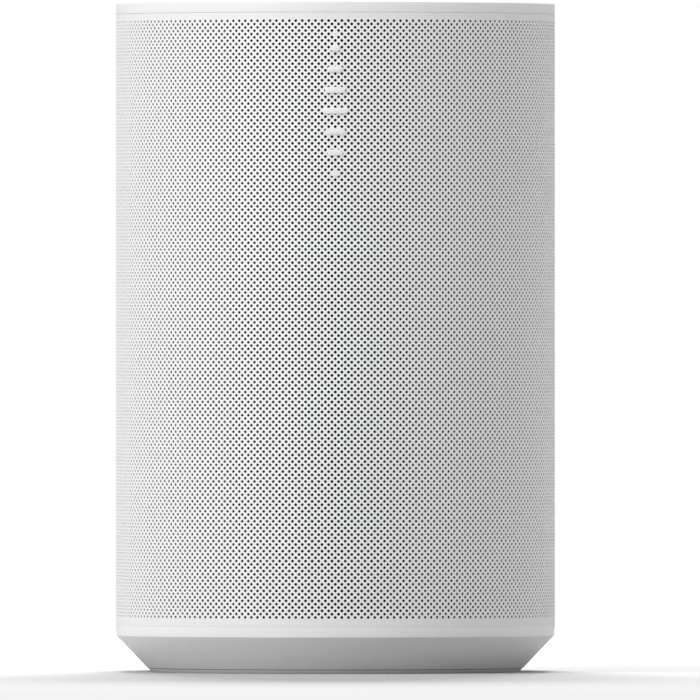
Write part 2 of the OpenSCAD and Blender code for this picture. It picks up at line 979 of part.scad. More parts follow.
module rear_chassis() color("dimgray") {
    difference() {
        union() {
            box([-chassis_half, cab_back, cab_z], [chassis_half, chassis_back, frame_z]);
            for (sx = [-1, 1])
                translate([sx * frame_post[0], frame_post[1], cab_top + 1])
                    cylinder(r = cab_boss_r, h = frame_z - cab_top - 1);
            at_rear_board_holes()
                along_y(0, chassis_back - 0.5, 0)
                    cylinder(r = 3, h = board_y - chassis_back + 0.5);
            at_board_holes(main_hole[0], main_hole[1], main_z)
                along_y(0, main_y, 0)
                    cylinder(r = 2.8, h = cab_back - main_y + 0.5);
        }
        for (sx = [-1, 1])
            translate([sx * frame_post[0], frame_post[1], frame_z - 9])
                cylinder(r = m3_r + screw_gap, h = 10);
        at_rear_board_holes()
            along_y(0, cab_back + 1, 0)
                cylinder(r = small_r + screw_gap, h = board_y);
        at_board_holes(main_hole[0], main_hole[1], main_z)
            along_y(0, main_y - 1, 0)
                cylinder(r = small_r + screw_gap, h = cab_back - main_y + 2);
        at_chassis_screws()
            along_y(0, cab_back - 1, 0)
                cylinder(r = m3_r + screw_gap, h = chassis_t + 2);
        along_y(1, cab_back - 1, lead_hole_z)
            cylinder(r = 3.2, h = chassis_t + 2);
        for (sx = [-1, 1])
            along_y(sx * tweeter_lead[0], cab_back - 1, tweeter_lead[1])
                cylinder(r = 2, h = chassis_t + 2);
    }
}

module chassis_screws() color("silver") {
    at_chassis_screws()
        translate([0, chassis_back, 0])
            rotate([90, 0, 0])
                m3_screw(chassis_t + 8);
    at_frame_posts()
        translate([0, 0, frame_z + rail_t])
            rotate([180, 0, 0])
                m3_screw(rail_t + 8);
    for (sx = [-1, 1])
        translate([sx * bracket_screw[0], bracket_screw[1], cab_top + bracket_t])
            rotate([180, 0, 0])
                m3_screw(bracket_t + 8);
}

module power_board() color("darkgreen") {
    difference() {
        box([-power_half, board_y, power_z[0]], [power_half, board_y + board_t, power_z[1]]);
        at_board_holes(power_hole[0], power_hole[1], power_z)
            along_y(0, board_y - 1, 0)
                cylinder(r = small_r + screw_gap, h = board_t + 2);
    }
}

module power_transformer() color("gold") {
    core = [22, 15, 24];
    flange = [20, 12, 3];
    middle = [-25, board_y + board_t, (power_z[0] + power_z[1]) / 2 + 4];
    translate([middle[0] - core[0] / 2, middle[1], middle[2] - core[2] / 2])
        cube(core);
    for (s = [-1, 1])
        translate([middle[0] - flange[0] / 2, middle[1],
                   middle[2] + s * (core[2] + flange[2]) / 2 - flange[2] / 2])
            cube(flange);
}

module filter_capacitors() color("midnightblue") {
    for (z = [power_z[0] + 18, power_z[0] + 40, power_z[0] + 60])
        along_y(25, board_y + board_t, z)
            cylinder(r = z > power_z[0] + 50 ? 6 : 8, h = 16);
}

module amp_board() color("darkgreen") {
    difference() {
        box([-power_half, board_y, amp_z[0]], [power_half, board_y + board_t, amp_z[1]]);
        at_board_holes(power_hole[0], power_hole[1], amp_z)
            along_y(0, board_y - 1, 0)
                cylinder(r = small_r + screw_gap, h = board_t + 2);
    }
}

module amp_chips() color("black") {
    chip = [8, 1.2, 8];
    for (x = [-22, 0, 22])
        translate([x - chip[0] / 2, board_y + board_t, amp_z[0] + 26])
            cube(chip);
}

module heat_spreader() color("silver") {
    plate_y = board_y + board_t + 1.2;
    z0 = amp_z[0] + 18;
    box([-30, plate_y, z0], [30, plate_y + 2, z0 + 24]);
    for (i = [0:9])
        translate([-30 + i * (60 - 1.2) / 9, plate_y + 1.9, z0])
            cube([1.2, 5, 24]);
}

module main_board() color("darkgreen") {
    difference() {
        box([-main_half, main_y - board_t, main_z[0]], [main_half, main_y, main_z[1]]);
        at_board_holes(main_hole[0], main_hole[1], main_z)
            along_y(0, main_y - board_t - 1, 0)
                cylinder(r = small_r + screw_gap, h = board_t + 2);
    }
}

module processor_shield() color("lightgray") {
    face = main_y - board_t;
    for (x = [-16, 16])
        difference() {
            box([x - 11, face - 2.6, main_z[0] + 8], [x + 11, face, main_z[0] + 30]);
            box([x - 10.6, face - 2.2, main_z[0] + 8.4], [x + 10.6, face + 1, main_z[0] + 29.6]);
        }
}

module small_screws() color("silver") {
    for (side = [-1, 1])
        at_tweeter_screws(side)
            translate([0, 0, 3])
                rotate([180, 0, 0])
                    small_screw(7);
    at_rear_board_holes()
        translate([0, board_y + board_t, 0])
            rotate([90, 0, 0])
                small_screw(7);
    at_board_holes(main_hole[0], main_hole[1], main_z)
        along_y(0, main_y - board_t, 0)
            small_screw(7);
    at_board_holes(io_post[0], io_post[1], io_board_z)
        along_y(0, io_board_y - board_t, 0)
            small_screw(7);
}

// ---------- rear panel ----------

module io_panel() color("whitesmoke") {
    usb_hole = [9.3, 3.6];
    slot_w = knob_w + switch_travel + 0.7;
    difference() {
        union() {
            pill_block(io_w - 2 * fit, io_h - 2 * fit, io_z, io_inner + 0.5, io_face);
            pill_block(io_w + 2 * io_flange, io_h + 2 * io_flange, io_z, io_inner, back_y - grille_t);
            at_board_holes(io_post[0], io_post[1], io_board_z)
                along_y(0, io_board_y, 0)
                    cylinder(r = 2.4, h = io_inner - io_board_y + 0.5);
        }
        at_board_holes(io_post[0], io_post[1], io_board_z)
            along_y(0, io_board_y - 1, 0)
                cylinder(r = small_r + screw_gap, h = 7);
        box([-9 - fit, io_inner - 1, inlet_z - 7 - fit], [9 + fit, back_y, inlet_z + 7 + fit]);
        pill_block(usb_hole[0], usb_hole[1], usb_z, io_inner - 1, back_y);
        pill_block(slot_w, slot_h, switch_z, io_inner - 1, back_y);
        along_y(0, io_inner - 1, button_z)
            cylinder(r = button_r + 0.3, h = io_in + 2);
    }
}

module power_inlet() color("black") {
    rear = io_face - 17;
    difference() {
        union() {
            box([-9, rear, inlet_z - 7], [9, io_face, inlet_z + 7]);
            box([-11, io_inner - 1.6, inlet_z - 8.5], [11, io_inner, inlet_z + 8.5]);
        }
        pill_block(inlet_w, inlet_h, inlet_z, io_face - inlet_depth, io_face + 1);
    }
    for (sx = [-1, 1]) {
        along_y(sx * inlet_pin_x, io_face - inlet_depth - 1, inlet_z)
            cylinder(r = inlet_pin_r, h = inlet_depth - 1.5, $fn = 32);
        box([sx * inlet_pin_x - 1.6, rear - 5, inlet_z - 0.4],
            [sx * inlet_pin_x + 1.6, rear + 1, inlet_z + 0.4]);
    }
}

module usb_c_socket() color("silver") {
    difference() {
        pill_block(8.94, 3.2, usb_z, io_board_y, io_face);
        pill_block(8.34, 2.6, usb_z, io_board_y + 2, io_face + 1);
    }
    box([-3.35, io_board_y + 1, usb_z - 0.35], [3.35, io_face - 0.6, usb_z + 0.35]);
}

module pair_button() color("white") {
    collar = io_inner - 0.45;
    stem_end = io_board_y + tact_floor + dome_h + 0.1;
    along_y(0, stem_end, button_z)
        cylinder(r = 1.5, h = collar - 0.5 - stem_end);
    along_y(0, collar - 1.2, button_z)
        cylinder(r = button_r + 1.1, h = 1.2);
    along_y(0, collar - 0.5, button_z)
        cylinder(r = button_r, h = io_face + 0.3 - collar + 0.5);
}

// A snap dome in the tact switch that pushes the button's stem back
module button_dome() color("silver") {
    along_y(0, io_board_y + tact_floor + 0.05, button_z)
        rotate_extrude($fn = 32)
            polygon([
                [1.5, 0], [2.3, 0], [2.3, 0.2], [1.6, 0.2],
                [0.8, dome_h], [0, dome_h], [0, dome_h - 0.2], [0.7, dome_h - 0.2]
            ]);
}

module tact_switch() color("black") {
    difference() {
        box([-3, io_board_y, button_z - 3], [3, io_board_y + tact_h, button_z + 3]);
        along_y(0, io_board_y + tact_floor, button_z)
            cylinder(r = 2.4, h = tact_h);
    }
}

module mic_switch_knob() color("white") {
    rest_x = -switch_travel / 2;
    body_top = io_board_y + switch_body_h;
    translate([rest_x, 0, 0])
        pill_block(knob_w, slot_h - 0.8, switch_z, io_inner - 1, io_face + 0.3);
    box([rest_x - knob_w / 2 - 1.5, body_top + 0.4, switch_z - 3],
        [rest_x + knob_w / 2 + 1.5, io_inner - 0.4, switch_z + 3]);
}

module mic_switch_body() color("black") {
    box([-6, io_board_y, switch_z - 2.6], [6, io_board_y + switch_body_h, switch_z + 2.6]);
}

module io_board() color("darkgreen") {
    difference() {
        box([-11, io_board_y - board_t, io_board_z[0]], [11, io_board_y, io_board_z[1]]);
        at_board_holes(io_post[0], io_post[1], io_board_z)
            along_y(0, io_board_y - board_t - 1, 0)
                cylinder(r = small_r + screw_gap, h = board_t + 2);
    }
}

// ---------- wiring ----------

// Points of a smooth curve through the given ones
function spline(points, steps) = [
    for (i = [0:len(points) - 2])
        let (
            a = points[max(i - 1, 0)],
            b = points[i],
            c = points[i + 1],
            d = points[min(i + 2, len(points) - 1)]
        )
            for (k = [0:(i == len(points) - 2 ? steps : steps - 1)])
                let (t = k / steps)
                    0.5 * (2 * b + (c - a) * t + (2 * a - 5 * b + 4 * c - d) * t * t
                        + (3 * b - a - 3 * c + d) * t * t * t)
];

// A round lead along points that run mainly front to back
module lead(points, r) {
    sides = 8;
    path = spline(points, 3);
    last = len(path) - 1;
    rings = [
        for (i = [0:last])
            let (
                ahead = path[min(i + 1, last)] - path[max(i - 1, 0)],
                forward = ahead / norm(ahead),
                across = cross(forward, [0, 0, 1]) / norm(cross(forward, [0, 0, 1])),
                up = cross(across, forward)
            )
                [for (k = [0:sides - 1])
                    path[i] + r * (across * cos(k * 360 / sides) + up * sin(k * 360 / sides))]
    ];
    polyhedron(
        points = [for (ring = rings) each ring],
        faces = concat(
            [[for (k = [0:sides - 1]) k]],
            [for (i = [0:last - 1]) for (k = [0:sides - 1])
                [i * sides + k, (i + 1) * sides + k,
                 (i + 1) * sides + (k + 1) % sides, i * sides + (k + 1) % sides]],
            [[for (k = [sides - 1:-1:0]) last * sides + k]]
        )
    );
}

module internal_wiring() color("firebrick") {
    wire_r = 0.8;
    for (dx = [0, -3])
        lead([
            [10 + dx, split_y - 10, woofer_z + 30],
            [10 + dx, split_y - 2, woofer_z + 32],
            [6 + dx, split_y + 8, lead_hole_z - 2],
            [2.5 + dx, split_y + 18, lead_hole_z],
            [2.5 + dx, cab_back, lead_hole_z],
            [2.5 + dx, board_y - 0.1, lead_hole_z]
        ], wire_r);
    tweeter_lead_r = wall_out - 17.65;
    for (sx = [-1, 1]) {
        lead([
            [sx * 0.728 * tweeter_lead_r, arc_y - 0.685 * tweeter_lead_r, tweeter_z],
            [sx * 14, arc_y - 9, tweeter_z - 2],
            [sx * 12, arc_y + 4, tweeter_lead[1] + 9],
            [sx * 14, cab_back - 12, tweeter_lead[1] + 1],
            [sx * tweeter_lead[0], cab_back - 3, tweeter_lead[1]],
            [sx * tweeter_lead[0], board_y - 0.1, tweeter_lead[1]]
        ], wire_r);
        lead([
            [sx * (inlet_pin_x + 0.2), io_face - 22.2, inlet_z],
            [sx * (inlet_pin_x + 0.5), io_face - 25, inlet_z - 1],
            [sx * (inlet_pin_x + 1), board_y + board_t + 0.6, inlet_z - 3]
        ], wire_r);
    }
}

foot_pad();
base_housing();
threaded_insert();
base_screws();
grille();
grille_liner();
badge();
status_light_pipe();
top_cover();
touch_board();
microphones();
top_frame();
touch_ribbon();
antennas();
cabinet_front();
cabinet_rear();
cabinet_gasket();
cabinet_screws();
damping_foam();
woofer_basket();
woofer_gasket();
woofer_top_plate();
woofer_magnet();
woofer_back_plate();
woofer_surround();
woofer_spider();
woofer_screws();
woofer_cone();
dust_cap();
voice_coil();
tweeter_bracket();
left_tweeter_plate();
right_tweeter_plate();
left_tweeter_dome();
right_tweeter_dome();
left_tweeter_coil();
right_tweeter_coil();
left_tweeter_motor();
right_tweeter_motor();
small_screws();
rear_chassis();
chassis_screws();
power_board();
power_transformer();
filter_capacitors();
amp_board();
amp_chips();
heat_spreader();
main_board();
processor_shield();
io_panel();
power_inlet();
usb_c_socket();
pair_button();
button_dome();
tact_switch();
mic_switch_knob();
mic_switch_body();
io_board();
internal_wiring();
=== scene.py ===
import json
import math

import bmesh
import bpy
import numpy as np
from mathutils import Matrix, Vector


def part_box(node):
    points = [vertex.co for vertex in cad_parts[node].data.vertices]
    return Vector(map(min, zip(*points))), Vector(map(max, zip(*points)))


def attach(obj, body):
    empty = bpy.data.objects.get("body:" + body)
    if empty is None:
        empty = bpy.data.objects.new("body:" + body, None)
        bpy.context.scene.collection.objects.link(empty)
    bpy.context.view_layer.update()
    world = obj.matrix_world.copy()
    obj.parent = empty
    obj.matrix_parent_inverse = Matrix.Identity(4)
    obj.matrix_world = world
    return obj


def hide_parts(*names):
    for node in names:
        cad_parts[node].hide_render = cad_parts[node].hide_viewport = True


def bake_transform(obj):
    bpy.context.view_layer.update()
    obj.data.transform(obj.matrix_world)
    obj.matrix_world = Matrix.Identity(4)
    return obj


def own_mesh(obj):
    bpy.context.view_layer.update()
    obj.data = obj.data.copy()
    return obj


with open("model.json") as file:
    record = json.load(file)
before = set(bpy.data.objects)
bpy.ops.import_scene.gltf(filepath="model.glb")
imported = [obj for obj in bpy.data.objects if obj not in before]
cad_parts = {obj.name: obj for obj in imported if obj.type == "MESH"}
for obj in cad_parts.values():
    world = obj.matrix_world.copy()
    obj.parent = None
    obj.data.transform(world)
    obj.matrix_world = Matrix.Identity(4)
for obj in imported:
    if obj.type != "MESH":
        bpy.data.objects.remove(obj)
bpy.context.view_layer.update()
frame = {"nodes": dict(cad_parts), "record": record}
MM = 0.001

# ---------- sizes, in metres ----------

grille_low, grille_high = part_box("grille")
HALF_W = grille_high.x
FRONT_Y = grille_low.y
BACK_Y = grille_high.y
BASE_TOP = grille_low.z
CAP_Z = grille_high.z
TOP_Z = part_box("top_cover")[1].z
REAR_R = 42 * MM  # radius of the two rear corners
ARC_Y = FRONT_Y + HALF_W  # middle of the front half circle

FRONT_ARC = HALF_W * math.pi / 2
STRAIGHT = BACK_Y - REAR_R - ARC_Y
REAR_ARC = REAR_R * math.pi / 2
BACK_FLAT = HALF_W - REAR_R
PERIMETER = 2 * (FRONT_ARC + STRAIGHT + REAR_ARC + BACK_FLAT)

HOLE_COLUMNS = 229  # holes in one row, round the whole wrap
HOLE_ROWS = 181
PITCH = PERIMETER / HOLE_COLUMNS
ROW_STEP = 0.9 * MM
HOLE_R = 0.41 * MM
SHEET_T = 0.32 * MM  # what a hole's edge shows of the sheet
TOP_ROW_Z = CAP_Z - 2.3 * MM
LAST_ROW_Z = TOP_ROW_Z - (HOLE_ROWS - 1) * ROW_STEP
PANELS = 9  # the sheet is made in this many upright strips

STEPS = HOLE_COLUMNS * 2  # points round a shell's outline


# ---------- the outline ----------


def on_outline(s, inset):
    """x and y at arc length s from the middle of the front, moved in by an inset."""
    s = (np.asarray(s, float) + PERIMETER / 2) % PERIMETER - PERIMETER / 2
    side = np.where(s < 0, -1.0, 1.0)
    run = np.abs(s)
    rear = run > FRONT_ARC + STRAIGHT
    corner = np.clip(run - FRONT_ARC - STRAIGHT, 0, REAR_ARC) / REAR_R
    angle = np.where(rear, math.pi / 2 + corner, np.minimum(run, FRONT_ARC) / HALF_W)
    along = np.where(rear, 0, np.clip(run - FRONT_ARC, 0, STRAIGHT))
    back = np.maximum(run - FRONT_ARC - STRAIGHT - REAR_ARC, 0)
    reach = np.where(rear, REAR_R, HALF_W) - inset
    x = side * (np.where(rear, BACK_FLAT, 0) - back + reach * np.sin(angle))
    y = np.where(rear, BACK_Y - REAR_R, ARC_Y + along) - reach * np.cos(angle)
    return x, y


def outline(inset, z, dips=None):
    """A loop of points round the body, anticlockwise seen from above."""
    s = np.arange(STEPS) * PERIMETER / STEPS
    x, y = on_outline(s, inset)
    heights = np.full(STEPS, float(z))
    if dips:
        heights[1::2] += dips
    return [Vector(p) for p in zip(x, y, heights)]


def wrap(mesh):
    """Bends a flat mesh, x along the body, y up and z outwards, round the body."""
    co = np.empty(len(mesh.vertices) * 3)
    mesh.vertices.foreach_get("co", co)
    co = co.reshape(-1, 3)
    x, y = on_outline(co[:, 0], -co[:, 2])
    mesh.vertices.foreach_set("co", np.stack((x, y, co[:, 1]), 1).ravel())
    mesh.update()


def pill(width, height, x, z, steps=16):
    """Points of a rounded bar in x and z, anticlockwise seen from the front."""
    r = min(width, height) / 2
    dx, dz = width / 2 - r, height / 2 - r
    points = []
    for i in range(4 * steps):
        a = 2 * math.pi * (i + 0.5) / (4 * steps)
        cx = math.copysign(dx, math.cos(a))
        cz = math.copysign(dz, math.sin(a))
        points.append((x + cx + r * math.cos(a), z + cz + r * math.sin(a)))
    return points


# ---------- making pieces ----------


def new_object(name, data):
    obj = bpy.data.objects.new(name, data)
    bpy.context.scene.collection.objects.link(obj)
    return obj


def finish_piece(name, mesh, material, body, replaces=(), angle=35):
    """Shades a finished mesh, puts it in the scene and says what it belongs to.

    A piece that is to bend between two bodies has None for its body.
    """
    mesh.name = name
    mesh.shade_smooth()
    mesh.set_sharp_from_angle(angle=math.radians(angle))
    obj = new_object(name, mesh)
    mesh.materials.clear()
    mesh.materials.append(material)
    if body:
        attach(obj, body)
    if replaces:
        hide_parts(*replaces)
    return obj


def to_mesh(bm, name, outward=True):
    if outward:
        bmesh.ops.recalc_face_normals(bm, faces=bm.faces)
    mesh = bpy.data.meshes.new(name)
    bm.to_mesh(mesh)
    bm.free()
    return mesh


def add_loop(bm, points):
    """A closed loop of edges through the points; gives back its vertices in order."""
    loop = [bm.verts.new(p) for p in points]
    for a, b in zip(loop, loop[1:] + loop[:1]):
        bm.edges.new((a, b))
    return loop


def edges_of(bm, loop):
    return [bm.edges.get(pair) for pair in zip(loop, loop[1:] + loop[:1])]


def grow(bm, loop, points):
    """Extrudes a loop and moves the copy to the points, one point for each vertex."""
    made = bmesh.ops.extrude_edge_only(bm, edges=edges_of(bm, loop))["geom"]
    fresh = {v for v in made if isinstance(v, bmesh.types.BMVert)}
    copy = []
    for v, point in zip(loop, points):
        copy.append(next(e.other_vert(v) for e in v.link_edges if e.other_vert(v) in fresh))
        copy[-1].co = point
    return copy


def loft(bm, loops, close_first=False, close_last=False):
    """Skins a row of loops that have the same number of points."""
    made = [add_loop(bm, loops[0])]
    for points in loops[1:]:
        made.append(grow(bm, made[-1], points))
    if close_first:
        bmesh.ops.contextual_create(bm, geom=edges_of(bm, made[0]))
    if close_last:
        bmesh.ops.contextual_create(bm, geom=edges_of(bm, made[-1]))
    return made


def fill(bm, *loops):
    """Fills between flat loops, at a thousand times their size so that tiny loops hold."""
    edges = [e for loop in loops for e in edges_of(bm, loop)]
    bmesh.ops.scale(bm, verts=bm.verts, vec=(1 / MM, 1 / MM, 1 / MM))
    bmesh.ops.triangle_fill(bm, edges=edges, use_beauty=True)
    bmesh.ops.scale(bm, verts=bm.verts, vec=(MM, MM, MM))


def rounded(corners, radius, steps=3):
    """A profile of (inset, z) points with its inner corners rounded off."""
    out = [corners[0]]
    for a, b, c in zip(corners, corners[1:], corners[2:]):
        a, b, c = Vector(a), Vector(b), Vector(c)
        r = min(radius, (a - b).length * 0.45, (c - b).length * 0.45)
        start = b + (a - b).normalized() * r
        end = b + (c - b).normalized() * r
        for i in range(steps + 1):
            t = i / steps
            out.append(tuple(start * (1 - t) ** 2 + b * 2 * t * (1 - t) + end * t * t))
    out.append(corners[-1])
    return [tuple(p) for p in out]


def turned(profile, steps, axis, centre):
    """A round piece from (radius, height) points, spun about an axis."""
    bm = bmesh.new()
    verts = [bm.verts.new((r, 0, h)) for r, h in profile]
    edges = [bm.edges.new(pair) for pair in zip(verts, verts[1:])]
    bmesh.ops.spin(
        bm, geom=verts + edges, cent=(0, 0, 0), axis=(0, 0, 1),
        angle=2 * math.pi, steps=steps, use_merge=True,
    )
    bmesh.ops.remove_doubles(bm, verts=bm.verts, dist=1e-7)
    turn = Vector((0, 0, 1)).rotation_difference(Vector(axis)).to_matrix().to_4x4()
    bmesh.ops.transform(bm, matrix=Matrix.Translation(centre) @ turn, verts=bm.verts)
    return bm


def join(name, parts):
    """One mesh from several bmeshes."""
    whole = bmesh.new()
    for bm in parts:
        bmesh.ops.recalc_face_normals(bm, faces=bm.faces)
        part = bpy.data.meshes.new("part")
        bm.to_mesh(part)
        bm.free()
        whole.from_mesh(part)
        bpy.data.meshes.remove(part)
    return to_mesh(whole, name, outward=False)


# ---------- materials ----------


class Graph:
    """Short calls for placing and joining shader nodes."""

    def __init__(self, tree):
        self.tree = tree

    def node(self, kind, **inputs):
        made = self.tree.nodes.new(kind)
        self.feed(made, inputs)
        return made

    def feed(self, node, inputs):
        for key, value in inputs.items():
            socket = node.inputs[key.replace("_", " ")]
            if isinstance(value, bpy.types.NodeSocket):
                self.tree.links.new(value, socket)
            else:
                socket.default_value = value

    def math(self, operation, a, b=0.0, c=0.0):
        made = self.tree.nodes.new("ShaderNodeMath")
        made.operation = operation
        for socket, value in zip(made.inputs, (a, b, c)):
            if isinstance(value, bpy.types.NodeSocket):
                self.tree.links.new(value, socket)
            else:
                socket.default_value = value
        return made.outputs[0]

    def mix(self, factor, first, second):
        """Two shaders mixed by a factor."""
        made = self.tree.nodes.new("ShaderNodeMixShader")
        for socket, value in zip(made.inputs, (factor, first, second)):
            self.tree.links.new(value, socket)
        return made.outputs[0]


def effect(name, pattern):
    """A node group: a pattern from 0 to 1 that varies colour, roughness and height."""
    tree = bpy.data.node_groups.new(name, "ShaderNodeTree")
    for label, kind in (
        ("Vector", "Vector"), ("Scale", "Float"), ("Colour", "Color"), ("Second Colour", "Color"),
        ("Tone", "Float"), ("Roughness", "Float"), ("Spread", "Float"),
    ):
        tree.interface.new_socket(label, in_out="INPUT", socket_type="NodeSocket" + kind)
    for label, kind in (("Colour", "Color"), ("Roughness", "Float"), ("Height", "Float")):
        tree.interface.new_socket(label, in_out="OUTPUT", socket_type="NodeSocket" + kind)
    g = Graph(tree)
    given = tree.nodes.new("NodeGroupInput")
    out = tree.nodes.new("NodeGroupOutput")
    tone, height = pattern(g, given.outputs["Vector"], given.outputs["Scale"])
    mix = g.node("ShaderNodeMix")
    mix.data_type = "RGBA"
    links = tree.links
    links.new(g.math("MULTIPLY", tone, given.outputs["Tone"]), mix.inputs["Factor"])
    links.new(given.outputs["Colour"], mix.inputs[6])
    links.new(given.outputs["Second Colour"], mix.inputs[7])
    links.new(mix.outputs[2], out.inputs["Colour"])
    rough = g.math(
        "MULTIPLY_ADD", g.math("SUBTRACT", tone, 0.5), given.outputs["Spread"],
        given.outputs["Roughness"],
    )
    links.new(rough, out.inputs["Roughness"])
    links.new(height, out.inputs["Height"])
    return tree


def noise(g, vector, scale, detail=2.0, roughness=0.5):
    made = g.node("ShaderNodeTexNoise", Vector=vector, Scale=scale, Detail=detail, Roughness=roughness)
    return made.outputs[0]


def stretched(g, vector, x, y, z):
    made = g.node("ShaderNodeVectorMath", Vector=vector)
    made.operation = "MULTIPLY"
    made.inputs[1].default_value = (x, y, z)
    return made.outputs[0]


def grain_pattern(g, vector, scale):
    """Spark-eroded moulding texture with faint broad unevenness."""
    fine = noise(g, vector, scale, 3.0, 0.6)
    broad = noise(g, vector, g.math("MULTIPLY", scale, 0.012), 3.0, 0.55)
    tone = g.math("MULTIPLY_ADD", g.math("SUBTRACT", fine, 0.5), 0.35, broad)
    return tone, fine


def brushed_pattern(g, vector, scale):
    """Streaks across the piece, as rolled or plated metal has."""
    streaks = noise(g, stretched(g, vector, 1.0, 1.0, 0.04), scale, 4.0, 0.6)
    spots = noise(g, vector, g.math("MULTIPLY", scale, 0.15), 2.0, 0.5)
    tone = g.math("ADD", g.math("MULTIPLY", streaks, 0.6), g.math("MULTIPLY", spots, 0.4))
    return tone, streaks


def weave_pattern(g, vector, scale):
    """Threads that cross, one over the other."""
    part = g.node("ShaderNodeSeparateXYZ", Vector=vector)
    side = g.math("ADD", part.outputs[0], part.outputs[1])
    a = g.math("SINE", g.math("MULTIPLY", side, scale))
    b = g.math("SINE", g.math("MULTIPLY", part.outputs[2], scale))
    height = g.math("MULTIPLY_ADD", g.math("MULTIPLY", a, b), 0.5, 0.5)
    fuzz = noise(g, vector, g.math("MULTIPLY", scale, 0.4), 2.0, 0.5)
    tone = g.math("MULTIPLY_ADD", g.math("SUBTRACT", fuzz, 0.5), 0.8, height)
    return tone, height


def winding_pattern(g, vector, scale):
    """Close turns of wire, as fine rings."""
    rings = g.node("ShaderNodeTexWave", Vector=vector, Scale=scale, Distortion=0.4, Detail=1.0)
    rings.bands_direction = "Y"
    fleck = noise(g, vector, g.math("MULTIPLY", scale, 0.5), 2.0, 0.5)
    tone = g.math("MULTIPLY_ADD", g.math("SUBTRACT", fleck, 0.5), 0.6, rings.outputs[1])
    return tone, rings.outputs[1]


def cell_pattern(g, vector, scale):
    """Small cells, for foam, fibre and ground ferrite."""
    cells = g.node("ShaderNodeTexVoronoi", Vector=vector, Scale=scale)
    cloud = noise(g, vector, g.math("MULTIPLY", scale, 0.2), 3.0, 0.6)
    tone = g.math("MULTIPLY_ADD", cells.outputs["Distance"], 0.5, g.math("MULTIPLY", cloud, 0.6))
    return tone, cells.outputs["Distance"]


EFFECTS = {
    "grain": effect("Moulded grain", grain_pattern),
    "brushed": effect("Brushed metal", brushed_pattern),
    "weave": effect("Woven cloth", weave_pattern),
    "winding": effect("Wound wire", winding_pattern),
    "cells": effect("Small cells", cell_pattern),
}


def surface(name, kind, colour, second, rough, scale=1600.0, tone=1.0, spread=0.08,
            bump=0.1, depth=0.02, **uniform):
    """A material whose colour, roughness and height vary by one of the effects."""
    material = bpy.data.materials.new(name)
    material.use_nodes = True
    tree = material.node_tree
    tree.nodes.clear()
    g = Graph(tree)
    place = g.node("ShaderNodeTexCoord")
    group = tree.nodes.new("ShaderNodeGroup")
    group.node_tree = EFFECTS[kind]
    g.feed(group, {
        "Vector": place.outputs["Object"], "Scale": scale, "Colour": (*colour, 1),
        "Second_Colour": (*second, 1), "Tone": tone, "Roughness": rough, "Spread": spread,
    })
    shader = g.node(
        "ShaderNodeBsdfPrincipled",
        Base_Color=group.outputs["Colour"], Roughness=group.outputs["Roughness"],
    )
    g.feed(shader, uniform)
    if bump:
        raised = g.node(
            "ShaderNodeBump", Strength=bump, Distance=depth * MM, Height=group.outputs["Height"],
        )
        tree.links.new(raised.outputs[0], shader.inputs["Normal"])
    out = g.node("ShaderNodeOutputMaterial")
    tree.links.new(shader.outputs[0], out.inputs["Surface"])
    return material


def grey(value, warm=0.0):
    return (value + warm, value, value - warm)


